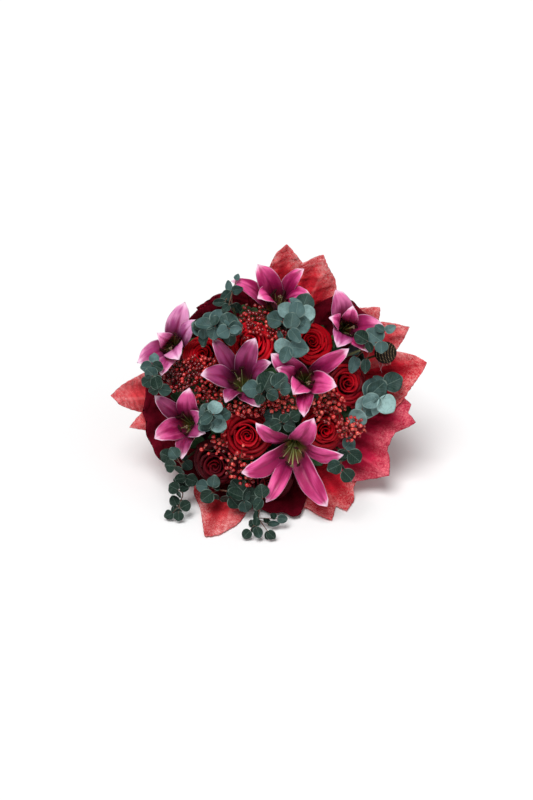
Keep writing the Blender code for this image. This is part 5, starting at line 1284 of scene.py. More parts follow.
def dress_spray(spray, room, owner):
    """A leafy spray: its leaves, and its stem with the twigs."""
    name = spray["name"]
    draw = draw_for(name)
    leaves, twigs = Piece(), Piece()
    path = stem_path(spray)
    add_stem(twigs, path, spray["radius"], 10, 0.35)
    if spray["run"] is not None:
        add_twig(twigs, fine_path(spray["run"], 2.5), 1.35, 0.8, 8, 0.8)
    for leaf, twig in zip(spray["leaves"], spray["twigs"]):
        if spray["run"] is None:
            twig[0] = on_path(path, twig[0])
        way = [*twig[:-1], leaf_root(leaf) + leaf["long"] * 1.5]
        add_twig(twigs, fine_path(way, 2.0), 0.75, 0.5, 6, 0.9)
        add_leaf(leaves, leaf, SPRAY_PAINTED_LIGHT[name] + draw.uniform(-0.45, 0.45), draw)
    others = [leaf_grid(leaf, *COARSE_LEAF, draw)[0].reshape(-1, 3) for leaf in spray["leaves"]]
    others = np.concatenate(others)
    for leaf in spray["leaves"] * 2:
        found = partner_leaf(leaf, draw, room, owner, others)
        if found:
            new, twig = found
            others = np.concatenate([others, leaf_grid(new, *COARSE_LEAF, draw)[0].reshape(-1, 3)])
            # A partner lies under the leaf it grows from, so its tone is drawn lower, as painted shade.
            add_leaf(leaves, new, SPRAY_PAINTED_LIGHT[name] + draw.uniform(-0.5, 0.15), draw)
            twigs.tubes([along([leaf_root(leaf) - leaf["long"], *twig], 2.0)], 0.5, 6, 0.9)
    leaves.build(name + "_leaves", FINISHES["eucalyptus"], "eucalyptus_green", name)
    twigs.build(name + "_twigs", FINISHES["twig"], "eucalyptus_green", name)


# Dressing: berries

BERRY_TRIES = {"berries_lower_left": 70, "berries_left": 420, "berries_middle_left": 230}
OTHER_TRIES = 170           # places that are tried for added berries in the other sprays' clusters
BERRY_SPREAD = 1.55         # the added berries' ellipse, to their cluster's
BERRY_DEPTH = (-20.0, 6.0)  # the added berries' height over the dome
SMALL_BERRY = (2.1, 3.2)    # their radius
BERRY_GAP = 0.15            # between them
STALK_GAP = 0.3             # from their stalks to other berries
BERRY_TONES = {"berries_left": 0.25, "berries_middle_left": 0.5, "berries_top": 0.5}


def berry_profile(radius):
    """A berry's outline: a circle, a little longer than wide, with a dimple and a small tip."""
    turn = np.linspace(0, pi, 11)
    wide = np.sin(turn) * radius
    high = -np.cos(turn) * radius * 1.08
    high[-2:] = [high[-3] + 0.10 * radius, high[-3] + 0.02 * radius]
    wide[-3], wide[-2] = 0.46 * radius, 0.20 * radius
    return np.column_stack([wide, high])


def more_berries(room, owner, name, draw, crowd, anchors):
    """Smaller berries that fill a spray's clusters: spots drawn in each ellipse, kept where the room is free.

    Each hangs on the nearest anchor, a point of a stalk, by a straight stalk that is clear of the
    other berries.
    """
    added = []
    middles = np.array([middle for middle, _ in crowd])
    sizes = np.array([size for _, size in crowd])
    tries = BERRY_TRIES.get(name, OTHER_TRIES)
    for column, row, wide, tall, _ in BERRIES[name]:
        turn, far = draw.uniform(0, 2 * pi, tries), draw.uniform(0, 1, tries) ** 0.7
        spots = on_face(column, row) + (np.column_stack([wide * np.cos(turn), tall * np.sin(turn)])
                                        * (far * MM_PER_PIXEL * BERRY_SPREAD)[:, None])
        fall = DOME_FALL * (spots ** 2).sum(axis=1) / DOME_RADIUS ** 2
        spots = np.column_stack([spots, DOME_TOP - fall + draw.uniform(*BERRY_DEPTH, tries)])
        for spot in spots[room.open_to(spots, owner)]:
            size = draw.uniform(*SMALL_BERRY)
            if (norm(middles - spot, axis=1) - sizes - size).min() < BERRY_GAP:
                continue
            for anchor in anchors[np.argsort(norm(anchors - spot, axis=1))[:4]]:
                way = along([anchor, spot], 1.5)
                gaps = norm(middles[:, None] - way, axis=2).min(axis=1) - sizes
                if gaps.min() > STALK_GAP and room.free(way, owner):
                    added.append((anchor, spot, size))
                    crowd.append((spot, size))
                    middles, sizes = np.vstack([middles, spot]), np.append(sizes, size)
                    anchors = np.vstack([anchors, anchor + (spot - anchor) * np.array([[0.35], [0.6]])])
                    break
    return added


def dress_berries(spray, room, owner, crowd):
    """A spray of berries, each on its stalk, with smaller ones between them where there is room."""
    name = spray["name"]
    draw = draw_for(name)
    berries, stalks = Piece(), Piece()
    path = stem_path(spray)
    add_stem(stalks, path, spray["radius"], 8, 0.3)
    anchors = [rise_curve(spray["head"])[-12:]]
    for source, hub in spray["links"]:
        line = fine_path([on_path(path, source), hub], 2.5)
        add_twig(stalks, line, 1.2, 0.9, 8, 0.4)
        anchors.append(line[2:])
    fruit = []
    for start, middle in spray["stalks"]:
        if not spray["links"] or norm(on_path(path, start) - start) < 3:
            start = on_path(path, start)
        toward = unit(middle - start)
        add_twig(stalks, along([start, middle - toward * 2.4], 3.0), 0.75, 0.5, 6, 0.6)
        fruit.append((middle, toward, BERRY_RADIUS))
        anchors.append(along([start, middle - toward * 6.5], 2.0)[1:])
    for anchor, middle, size in more_berries(room, owner, name, draw, crowd, np.concatenate(anchors)):
        toward = unit(middle - anchor)
        add_twig(stalks, along([anchor, middle - toward * size * 0.8], 2.5), 0.5, 0.35, 5, 0.7)
        fruit.append((middle, toward, size))
    for middle, toward, size in fruit:
        tone = BERRY_TONES.get(name, 0.6) + draw.uniform(-0.35, 0.35)
        berries.turned(middle, toward, berry_profile(size), 10, tone)
    berries.build(name + "_fruit", FINISHES["berry"], "berry_red", name)
    stalks.build(name + "_stalks", FINISHES["stalk"], "stem_green", name)


# Dressing: the leaves on the flower stems and between the flowers

FOLIAGE_LEVELS = np.arange(30.0, 119.0, 8.0)  # how far under a flower its leaves grow
LILY_LEAF, ROSE_LEAF = (46, 6.0), (34, 9.0)  # their length and half width
FILLER_TRIES = 6000
FILLER_SEAT = 3             # points of a stalk that lie in the stem that it grows from
FILLER_REACH = 125.0        # from the axis
FILLER_RISE = 14            # of a stalk, from its stem to its leaf
FILLER_FOOT = 84.0          # lowest foot of a stalk
FILLER_LOW, FILLER_BELOW = 100.0, 42.0  # lowest height, and least depth under the dome


def narrow_leaf(root, out, length, wide, arch, rows=12, columns=7):
    """A long leaf: its spine leaves the stem upwards and arches out, its width is a sine of its length."""
    x, t = parameters(rows, columns)
    side = unit(np.cross(UP, out))
    spine = (root + out * (length * np.sin(1.1 * t))[..., None]
             + UP * (length * (0.75 * t - arch * t ** 2))[..., None])
    half = wide * np.sin(pi * t ** 0.8) ** 0.8 + 0.35
    return spine + side * (half * x)[..., None] + UP * (0.18 * half * np.abs(x))[..., None]


def dress_foliage(room, stems):
    """Dark leaves low on the flower stems, each turned the first way in which the room is free."""
    draw = np.random.default_rng(77)
    for stem in stems:
        name = stem["name"]
        if name not in LILIES and name not in ROSES:
            continue
        length, wide = LILY_LEAF if name in LILIES else ROSE_LEAF
        piece = Piece()
        for level in stem["head"][2] - FOLIAGE_LEVELS:
            root = np.array([*stem_at(stem, level), level])
            for turn in draw.uniform(0, 2 * pi) + np.arange(12) * 2.4:
                out = np.array([cos(turn), sin(turn), 0.0])
                grid = narrow_leaf(root, out, length, wide, draw.uniform(0.2, 0.6))
                if room.free(grid[3:], NEWCOMER):
                    piece.blade(grid, LEAF_FINE, draw.uniform(0, 1))
                    room.mark(grid[2:], CLOSED)
                    break
        if piece.count:
            piece.build(name + "_foliage", FINISHES["foliage"], "stem_green")


def dress_filler(room, stems):
    """Round dark leaves between the flowers, where the room is free, on stalks from the nearest stems."""
    draw = np.random.default_rng(5)
    leaves, stalks = Piece(), Piece()
    for _ in range(FILLER_TRIES):
        turn, far = draw.uniform(0, 2 * pi), FILLER_REACH * sqrt(draw.uniform())
        spot = np.array([far * cos(turn), far * sin(turn), 0.0])
        spot[2] = draw.uniform(FILLER_LOW, dome(spot[:2]) - FILLER_BELOW)
        slope = 0.5 * far / FILLER_REACH + draw.uniform(0, 0.5)
        radius, narrow = draw.uniform(6, 13), draw.uniform(0.7, 0.95)
        leaf = make_leaf(spot, (cos(turn), sin(turn)), radius, slope, narrow, draw)
        points = leaf_grid(leaf, 3, 12, draw)[0].reshape(-1, 3)
        if floor_height(points).min() < 3 or not room.free(points, NEWCOMER):
            continue
        root = leaf_root(leaf)
        level = max(root[2] - FILLER_RISE, FILLER_FOOT)
        feet = np.array([[*stem_at(stem, level), level] for stem in stems if stem["head"][2] > level + 6])
        foot = feet[norm(feet - root, axis=1).argmin()]
        way = along([foot, (foot + root) / 2 + [0, 0, 2], root + leaf["long"]], 3.0)
        if not room.free(way[FILLER_SEAT:], NEWCOMER):
            continue
        room.mark(points, CLOSED)
        room.mark(way[FILLER_SEAT:], CLOSED)
        add_leaf(leaves, leaf, draw.uniform(0, 1), draw, 5, 18)
        stalks.tubes([way], 0.6, 6, 0.2)
    leaves.build("filler_leaves", FINISHES["foliage"], "stem_green")
    stalks.build("filler_stalks", FINISHES["stalk"], "stem_green")


# Dressing: the seed head

GRAIN = ((0, 0), (0.46, 0.15), (0.52, 0.6), (0.25, 0.9), (0, 0.95))


def dress_seed_head(seed):
    """The seed head: a flat ribbed dome, rows of small grains on its ribs, and two curled tendrils."""
    head = seed["head"]
    body = Piece()
    rim = ((16.2, 11.5), (14.6, 13.6), (12.6, 14.9), (9, 16.6), (5, 17.6))
    body.turned(head, UP, [(0, -3), (2.4, -2.4), (7, -0.6), (12, 2), (15, 5.5), (16.4, 9), *rim, (2.2, 17.4),
                           (0, 16.6)], 64, 0.3)
    add_stem(body, stem_path(seed), seed["radius"], 10, 0.8)
    body.build("seed_head_disc", FINISHES["seed"], "seed_brown", "seed_head")
    grains = Piece()
    radii, heights = zip((0, 16.9), *rim[::-1])
    for row in range(-3, 4):
        y = row * 4.2
        span = sqrt(max(14.6 ** 2 - y ** 2, 0))
        x = np.arange(-span, span + 0.1, 2.1)
        y = y + 0.02 * x ** 2 - 1.2
        reach = np.hypot(x, y)
        feet = head + np.column_stack([y, x, np.interp(reach, radii, heights) - 0.35])[reach < 15.6]
        grains.turned(feet, np.tile(UP, (len(feet), 1)), GRAIN, 6,
                      0.5 + 0.3 * np.sin(np.arange(len(feet)) * 2.3))
    grains.build("seed_head_grains", FINISHES["grain"], "seed_brown")
    share = np.linspace(0, 1, 40)
    tendril = Piece()
    for thick, bends in ((0.95, ((-15.5, -3, 0), (-5, -4, 6), (-1, -16, 5), (-7, -26, -4))),
                         (0.6, ((-14.5, -5, 0), (-9, -9, 4), (-10, -18, 3), (-4, -30, -6)))):
        tendril.tubes([head + bezier(*np.array(bends, float), share)], thick * (1 - 0.5 * share), 8, 0.5)
    tendril.build("seed_head_tendril", FINISHES["tendril"], "lily_pink")


# Dressing: paper, twine and ribbon

PLEAT = 4.2                 # how far the paper swings out between its creases
CRUMPLE = 1.5               # height of its crumples
EDGE_TEAR = 0.8             # how far a sheet's rim is torn in and out
RIM_STEP = 2.5              # step at which the rim is looked for along the paper's run
SHEET_ALPHA = 0.88          # of the thinnest paper, at a sheet's rim
PAPER_TINTS = {             # dark, bright and pale colour of each sheet that has its own
    "paper_top": ((0.46, 0.004, 0.016), (0.86, 0.024, 0.044), (0.97, 0.52, 0.50)),
    "paper_left": ((0.50, 0.020, 0.030), (0.88, 0.070, 0.085), (0.97, 0.52, 0.52)),
    "paper_bottom_left": ((0.42, 0.004, 0.014), (0.80, 0.040, 0.055), (0.97, 0.56, 0.54)),
    "paper_upper_right": ((0.42, 0.006, 0.020), (0.80, 0.045, 0.065), (0.96, 0.48, 0.46)),
    "paper_lower_right": ((0.30, 0.002, 0.020), (0.58, 0.010, 0.058), (0.88, 0.24, 0.28)),
}


def fine_sheet(name, outline, waists, seed, columns, rows):
    """A sheet of paper with soft pleats between its creases, crumpled towards its torn rim.

    Its grid is given with the length of each point from the tie and the share of its pleat, which the finish
    turns into painted shade in the valleys and painted light on the ridges.
    """
    degrees = np.linspace(outline[0][0], outline[-1][0], columns)
    layer = layer_offset(name, outline, degrees)
    lengths = np.arange(60.0, 335.0, RIM_STEP)
    reach = np.hypot(*np.moveaxis(paper_points(waists, degrees, lengths[:, None], layer)[..., :2], -1, 0))
    tear = EDGE_TEAR * (name != "paper_collar") * wrinkle(degrees * 1.3, degrees * 0, seed, 6, 1.7)
    radius = np.interp(degrees, *zip(*outline)) * RIM_SPREAD + tear
    before = np.clip((reach < radius).sum(axis=0) - 1, 0, len(lengths) - 2)
    column = np.arange(columns)
    first, second = reach[before, column], reach[before + 1, column]
    top = lengths[before] + RIM_STEP * np.clip((radius - first) / (second - first), 0, 1)
    length = SKIRT_END + (top - SKIRT_END) * np.linspace(0, 1, rows)[:, None]
    grid = paper_points(waists, degrees, length, layer)
    grown = ramp(length, 0.0, 120.0)
    fold = np.arcsin(0.97 * np.sin(2 * pi * degrees / FOLD_STEP)) / 1.3
    pleat = PLEAT * fold * ramp(length, 40.0, 230.0) * (0.6 + 0.4 * np.sin(degrees / 7.0))
    relief = CRUMPLE * wrinkle(np.radians(degrees) * (50 + length) / 12, length / 16, 3) * grown
    grid = grid + grid_normals(grid) * (pleat + relief)[..., None]
    return lifted(grid, layer), length, fold * grown


def dress_paper(name, outline, waists, seed, slot, columns, rows):
    """One sheet of the wrap."""
    finish = FINISHES[slot]
    if name in PAPER_TINTS:
        finish = paper_finish(name.replace("_", " "), *PAPER_TINTS[name], SHEET_ALPHA)
    grid, length, fold = fine_sheet(name, outline, waists, seed, columns, rows)
    degrees = np.linspace(outline[0][0], outline[-1][0], columns)
    piece = Piece()
    # The share of each pleat goes in as the tone, for the painted shade and light of the folds.
    piece.blade(grid, PAPER_FINE, fold, 0.012, np.radians(degrees) * (60 + np.abs(length)) / 100,
                (length[-1] - length) / 100)
    piece.build(name + "_sheet", finish, slot, name)


TWINE_TURNS = 3
TWINE_TWISTS = 110          # of its two strands round each other
TWINE_CLIMB = 4.2           # from its first turn to its last
RIBBON_TURN = (-20, 372)    # the angles at which the ribbon starts and ends
RIBBON_CLIMB = 0.9          # over its own start


def ring_path(stems, degrees, out):
    """Places round the tie at angles, the stems' own reach and so much more from the axis."""
    turn = np.radians(degrees)
    around = np.arange(0, 361, 10.0)
    reach = np.interp(degrees % 360, around, [waist_reach(stems, angle % 360) for angle in around])
    return (reach + out)[:, None] * np.column_stack([np.cos(turn), np.sin(turn)])


def dress_tie(stems, waists):
    """Twine of two twisted strands in three turns round the stems, and a satin ribbon over the paper."""
    twine = Piece()
    share = np.linspace(0, 1, 720)
    degrees = 360 * TWINE_TURNS * share
    level = TWINE_CLIMB * share - TWINE_CLIMB / 2
    middle = np.column_stack([ring_path(stems, degrees, TWINE_GAP + TWINE_THICK / 2), level])
    out = np.column_stack([np.cos(np.radians(degrees)), np.sin(np.radians(degrees)), np.zeros(720)])
    for strand in (0, pi):
        twist = 2 * pi * share * TWINE_TWISTS + strand
        twine.tubes([middle + 0.42 * (out * np.cos(twist)[:, None] + UP * np.sin(twist)[:, None])], 0.5, 7,
                    0.4 + strand * 0.1, upright=UP)
    twine.build("twine_turns", FINISHES["twine"], "twine_brown", "twine")
    band = Piece()
    degrees = np.linspace(*RIBBON_TURN, 260)
    length = np.linspace(-RIBBON_HEIGHT / 2, RIBBON_HEIGHT / 2, 19)[:, None]
    layer = RIBBON_OFFSET + RIBBON_CLIMB * ramp(degrees, 310, 345)
    grid = paper_points(waists, degrees, length, layer)
    grid = grid + grid_normals(grid) * (0.25 * np.sin(length * 0.9 + 1.4 * np.sin(degrees / 31)))[..., None]
    band.blade(grid, 0.5, 0.5, 0.03)
    ribbon = band.build("ribbon_band", FINISHES["ribbon"], "ribbon_red", "ribbon")
    run = norm(np.diff(grid, axis=1), axis=2).sum(axis=1).mean() / 1000


# Materials

class Value:
    """A shader socket with arithmetic: each operation adds its Math node."""

    def __init__(self, finish, socket):
        self.finish, self.socket = finish, socket

    def maths(self, operation, *values):
        """A Math node on these values."""
        return self.finish.node("ShaderNodeMath", {"operation": operation}, dict(enumerate(values)))

    def __add__(self, other):
        return self.maths("ADD", self, other)

    def __mul__(self, other):
        return self.maths("MULTIPLY", self, other)

    def __sub__(self, other):
        return self.maths("SUBTRACT", self, other)

    def __rsub__(self, other):
        return self.maths("SUBTRACT", other, self)

    def __abs__(self):
        return self.maths("ABSOLUTE", self)

    def sine(self):
        return self.maths("SINE", self)

    def root(self):
        return self.maths("SQRT", self)

    def exponential(self):
        return self.maths("EXPONENT", self)

    def top(self, other):
        return self.maths("MAXIMUM", self, other)

    def low(self, other):
        return self.maths("MINIMUM", self, other)

    def ramp(self, low, high, start=0.0, end=1.0):
        """Goes smoothly from start to end as the value goes from low to high."""
        return self.finish.node("ShaderNodeMapRange", {"interpolation_type": "SMOOTHSTEP"},
                                {0: self, 1: low, 2: high, 3: start, 4: end})


class Finish:
    """One material: its Principled shader, the piece's own places, and a method that makes any node."""

    def __init__(self, name, roughness=0.5, **constants):
        self.material = bpy.data.materials.new(name)
        self.material.use_nodes = True
        self.tree = self.material.node_tree
        self.shader = self.tree.nodes["Principled BSDF"]
        self.shader.inputs["Roughness"].default_value = roughness
        for socket, value in constants.items():
            self.shader.inputs[socket.replace("_", " ")].default_value = value
        places = self.node("ShaderNodeAttribute", {"attribute_name": "place"}, {}, "Vector")
        parts = self.node("ShaderNodeSeparateXYZ", {}, {0: places})
        self.across, self.along, self.tone = (Value(self, socket) for socket in parts.socket.node.outputs)
        self.back = Value(self, places.socket.node.outputs["Alpha"])
        self.spot = self.node("ShaderNodeTexCoord", {}, {}, "Object")

    def node(self, kind, settings, inputs, output=0):
        """A node of this type, with its settings, and with values or links on its inputs."""
        node = self.tree.nodes.new(kind)
        for key, value in settings.items():
            setattr(node, key, value)
        for key, value in inputs.items():
            self.put(node.inputs[key], value)
        return Value(self, node.outputs[output])

    def put(self, socket, value):
        """Links a value to a socket, or sets a constant or a colour on it."""
        if isinstance(value, Value):
            self.tree.links.new(value.socket, socket)
        else:
            socket.default_value = (*value, 1.0) if isinstance(value, tuple) else value

    def mix(self, first, second, factor):
        """A colour between two, by the factor."""
        return self.node("ShaderNodeMix", {"data_type": "RGBA"}, {0: factor, 6: first, 7: second}, 2)

    def layers(self, colour, *covers):
        """A colour under others, each with the factor by which it covers what is under it."""
        for cover, factor in covers:
            colour = self.mix(colour, cover, factor)
        return colour

    def noise(self, scale, detail=3.0, roughness=0.55, spot=None, distortion=0.0):
        """Soft random values, so many to a metre unless the place is given."""
        return self.node("ShaderNodeTexNoise", {}, {
            "Vector": spot or self.spot, "Scale": scale, "Detail": detail, "Roughness": roughness,
            "Distortion": distortion})

    def vector(self, x, y, z):
        """A place for a noise, from three values."""
        return self.node("ShaderNodeCombineXYZ", {}, {0: x, 1: y, 2: z})

    def finish(self, colour, roughness=None, height=None, depth=0.0003, strength=0.5, alpha=None):
        """Links what changes over the surface, the relief through a Bump node of this depth in metres."""
        if height is not None:
            height = self.node("ShaderNodeBump", {}, {
                "Height": height, "Distance": depth, "Strength": strength})
        linked = {"Base Color": colour, "Roughness": roughness, "Normal": height, "Alpha": alpha}
        for socket, value in linked.items():
            if value is not None:
                self.put(self.shader.inputs[socket], value)
        return self.material


def lily_finish():
    """Magenta petals with a pale margin and a deep midrib, a yellow-green throat and raised dark specks."""
    m = Finish("lily petals", 0.45, Specular_IOR_Level=0.35, Subsurface_Weight=0.06)
    veins = m.noise(1.0, 2.0, 0.6, m.vector(m.across * 20, m.along * 3, m.tone * 9))
    patch = m.noise(1.0, 2.0, 0.5, m.vector(m.across * 1.3, m.along * 2.2, m.tone * 31))
    side = abs(m.across)
    medium, light = m.tone.ramp(0.0, 0.5), m.tone.ramp(0.75, 1.2)
    shade = m.layers((0.14, 0.008, 0.052), ((0.33, 0.006, 0.085), medium), ((0.40, 0.070, 0.26), light))
    glow = m.layers((0.32, 0.040, 0.15), ((0.74, 0.075, 0.28), medium), ((0.72, 0.36, 0.60), light))
    lit = (m.along * 0.75 + side * 0.15 + (patch - 0.5) * 1.8 + (veins - 0.5) * 0.4).ramp(0.35, 0.90)
    rib = (m.across * m.across * -90).exponential() * (1 - m.along.ramp(0.6, 0.98))
    pale = (side.ramp(0.72, 1.0) * m.along.ramp(0.40, 1.0) * 0.65 + m.along.ramp(0.82, 1.0) * 0.9
            + (m.noise(60) - 0.5) * 0.7 + (patch - 0.5) * 0.8).ramp(0.25, 1.05)
    throat = (m.along + side * 0.05 + (veins - 0.5) * 0.12).ramp(0.12, 0.34, 1.0, 0.0)
    cells = m.node("ShaderNodeTexVoronoi", {}, {
        "Vector": m.vector(m.across * 7, m.along * 20, m.tone * 5), "Scale": 1.6})
    specks = cells.ramp(0.10, 0.2, 1.0, 0.0) * m.along.ramp(0.12, 0.2) * m.along.ramp(0.35, 0.5, 1.0, 0.0)
    body = m.layers(
        shade, (glow, lit), ((0.22, 0.004, 0.06), rib * 0.7),
        ((0.055, 0.003, 0.020), m.along.ramp(0.64, 0.24) * (1 - side * 0.4) * 0.8),
        ((0.86, 0.62, 0.74), pale * 0.9),
        ((0.78, 0.42, 0.58), side.ramp(0.91, 0.98) * m.along.ramp(0.2, 0.4) * 0.7),
        ((0.23, 0.25, 0.045), throat * 0.85), ((0.52, 0.17, 0.32), m.back * 0.5),
        ((0.20, 0.01, 0.05), specks * 0.8))
    return m.finish(body, m.noise(300).ramp(0.3, 0.7, 0.36, 0.52),
                    veins * 0.5 + specks * 0.6 + m.noise(900) * 0.12, 0.0008, 0.55)


def rose_finish():
    """Velvety red, darker towards each petal's foot as painted shade, brighter at its lip, and darker all
    over on the roses painted as shaded.
    """
    m = Finish("rose petals", 0.6, Specular_IOR_Level=0.15)
    veins = m.noise(1.0, 3.0, 0.6, m.vector(m.across * 16, m.along * 4, m.tone * 13))
    lip = (m.along + (veins - 0.5) * 0.15).ramp(0.62, 1.0)
    # Painted shade and light: dark is the shaded copy of the red and bright the lit one, each darkening from
    # the lip to the foot as painted shade deep in the flower.
    dark = m.mix((0.008, 0.0, 0.001), (0.075, 0.0, 0.005), lip)
    bright = m.mix((0.03, 0.0, 0.002), (0.64, 0.0, 0.010), lip)
    body = m.layers(dark, (bright, m.tone.ramp(0.2, 0.8)),
                    ((0.10, 0.0, 0.004), (veins - 0.45).ramp(0.0, 0.4) * 0.35),
                    ((0.26, 0.004, 0.014), m.back * 0.2))
    return m.finish(body, m.noise(500).ramp(0.3, 0.7, 0.48, 0.66), veins * 0.5 + m.noise(1500) * 0.2, 0.0007)


def stem_finish():
    """Fresh stems, by their tone russet low down, green, paler near the flower, and brown at the stigma."""
    m = Finish("fresh stems", 0.45, Subsurface_Weight=0.05)
    fibre = m.noise(1.0, 3.0, 0.6, m.vector(m.across * 9, m.along * 30, m.back * 9))
    russet = m.noise(45).ramp(0.6, 0.75) * m.tone.ramp(0.2, 0.0, 0.0, 1.0)
    body = m.layers((0.055, 0.13, 0.030), ((0.12, 0.24, 0.055), m.noise(90).ramp(0.3, 0.7)),
                    ((0.10, 0.035, 0.02), russet * 0.5), ((0.45, 0.50, 0.20), m.tone.ramp(0.8, 1.0)),
                    ((0.30, 0.34, 0.10), m.tone.ramp(1.05, 1.2)), ((0.14, 0.09, 0.05), m.tone.ramp(1.3, 1.4)))
    return m.finish(body, m.noise(300).ramp(0.3, 0.7, 0.38, 0.55), fibre, 0.0004)


def anther_finish():
    """Dark maroon anthers, dusty with pollen."""
    m = Finish("anthers", 0.8, Specular_IOR_Level=0.15)
    dust = m.noise(1800, 4.0)
    body = m.layers((0.016, 0.002, 0.004), ((0.052, 0.009, 0.008), dust.ramp(0.4, 0.65)),
                    ((0.010, 0.0015, 0.003), abs(m.across).ramp(0.25, 0.0, 0.0, 0.7)))
    return m.finish(body, None, dust, 0.0004, 0.8)


def eucalyptus_finish():
    """Grey-green waxy leaves, painted from a nearly black shaded green to a pale lit green by their tone,
    with a powdery bloom, a pale midrib, forked veins and a thin pale rim.
    """
    m = Finish("eucalyptus leaves", 0.6, Specular_IOR_Level=0.22)
    bloom = m.noise(70, 4.0)
    mottle = m.noise(350, 3.0)
    midrib = abs(m.along).ramp(0.0, 0.045, 1.0, 0.0) * m.across.ramp(0.75, 0.95, 1.0, 0.0)
    slant = (m.across - abs(m.along) * 0.85) * 19 + (m.noise(120) - 0.5) * 3
    veins = slant.sine().ramp(0.90, 1.0) * abs(m.along).ramp(0.9, 0.7)
    rim = (m.across * m.across + m.along * m.along).root().ramp(0.94, 0.99)
    # Painted shade and light: the tone runs from a nearly black shaded green to a pale lit green.
    body = m.layers((0.005, 0.020, 0.013),
                    ((0.068, 0.130, 0.130), (m.tone + (bloom - 0.5) * 0.8).ramp(0.05, 0.85)),
                    ((0.30, 0.46, 0.45), (m.tone + (bloom - 0.5) * 0.6).ramp(0.65, 1.2)))
    body = m.layers(body, (m.mix(body, (0.5, 0.7, 0.6), 0.3), midrib * 0.55 + veins * 0.18),
                    ((0.10, 0.16, 0.145), m.back * 0.5),
                    ((0.05, 0.09, 0.06), (mottle - 0.45).ramp(0.0, 0.3) * 0.35),
                    ((0.26, 0.34, 0.29), rim * 0.4))
    relief = veins * -0.5 - midrib * 0.8 + mottle * 0.35
    return m.finish(body, bloom.ramp(0.3, 0.7, 0.48, 0.7), relief, 0.0008)


def foliage_finish():
    """Dark green leaves with a paler midrib."""
    m = Finish("dark leaves", 0.5, Specular_IOR_Level=0.2)
    cloud = m.noise(90, 4.0)
    ribs = ((m.along - abs(m.across) * 0.12) * 70).sine().ramp(0.75, 1.0)
    middle = abs(m.across).ramp(0.10, 0.02)
    body = m.layers((0.008, 0.030, 0.010),
                    ((0.025, 0.070, 0.022), (cloud * 0.7 + m.tone * 0.4).ramp(0.25, 0.75)),
                    ((0.05, 0.11, 0.04), middle * 0.6 + ribs * 0.15))
    return m.finish(body, cloud.ramp(0.3, 0.7, 0.38, 0.55), ribs * -0.5 - middle + cloud * 0.4, 0.0005)


def twig_finish():
    """Thin russet twigs, greener on the thicker stem."""
    m = Finish("russet twigs")
    bark = m.noise(260, 4.0)
    body = m.layers((0.075, 0.085, 0.035), ((0.16, 0.065, 0.040), m.tone.ramp(0.35, 0.85)),
                    ((0.05, 0.03, 0.02), bark.ramp(0.5, 0.75) * 0.6))
    return m.finish(body, bark.ramp(0.3, 0.7, 0.45, 0.7), bark, 0.0004, 0.6)


def stalk_finish():
    """Dark brown-green berry stalks."""
    m = Finish("berry stalks", Specular_IOR_Level=0.2)
    bark = m.noise(260, 4.0)
    body = m.mix((0.020, 0.026, 0.010), (0.055, 0.030, 0.016), (m.tone + (bark - 0.5)).ramp(0.2, 0.8))
    return m.finish(body, bark.ramp(0.3, 0.7, 0.5, 0.7), bark, 0.0004, 0.6)


def berry_finish():
    """Glossy orange-red berries with a darker side, a painted pale highlight on the brightest, fine pores and
    a brown tip.
    """
    m = Finish("berries", Coat_Weight=0.5, Coat_Roughness=0.12, Subsurface_Weight=0.1)
    flush = m.noise(240, 3.0)
    body = m.layers((0.12, 0.001, 0.005),
                    ((0.70, 0.024, 0.026), (m.tone + (flush - 0.5) * 1.2).ramp(0.15, 0.9)),
                    # Painted highlight: pale orange patches on the brightest berries.
                    ((0.84, 0.20, 0.14), (m.tone + flush * 0.4).ramp(0.92, 1.2) * 0.7),
                    ((0.05, 0.015, 0.008), m.along.ramp(0.80, 0.92) * 0.9))
    return m.finish(body, flush.ramp(0.3, 0.7, 0.2, 0.34), m.noise(1600), 0.0003, 0.3)


def seed_finish():
    """Nearly black seed head with concentric wrinkles, on a paler stem."""
    m = Finish("seed head", Specular_IOR_Level=0.15)
    grain = m.noise(600, 4.0)
    rings = (m.along * 90 + grain * 5).sine()
    body = m.layers((0.006, 0.004, 0.003), ((0.028, 0.014, 0.009), grain.ramp(0.4, 0.75)),
                    ((0.09, 0.07, 0.03), m.tone.ramp(0.6, 0.8) * 0.8))
    return m.finish(body, grain.ramp(0.3, 0.7, 0.55, 0.8), rings * 0.4 + grain, 0.0006, 0.6)


def grain_finish():
    """Light brown grains."""
    m = Finish("seed grains", 0.6)
    body = m.mix((0.26, 0.15, 0.06), (0.58, 0.40, 0.20), (m.noise(900) + m.tone * 0.4).ramp(0.4, 0.9))
    return m.finish(body, None, m.noise(2500), 0.0002)


def tendril_finish():
    """A pale pink tendril."""
    m = Finish("pink tendril", 0.5)
    body = m.mix((0.55, 0.25, 0.28), (0.42, 0.12, 0.18), m.noise(200).ramp(0.3, 0.7))
    return m.finish(body, None, m.noise(900), 0.0003, 0.4)


def fibres(m, scale, turn, width, seed):
    """Long curly fibres: the thin lines on which a stretched noise passes its middle value."""
    across = m.across * cos(turn) + m.along * sin(turn)
    along_it = m.along * cos(turn) - m.across * sin(turn)
    value = m.noise(1.0, 1.5, 0.5, m.vector(across * scale, along_it * scale * 0.45, seed), 0.6)
    return abs(value - 0.5).ramp(0.0, width, 1.0, 0.0)


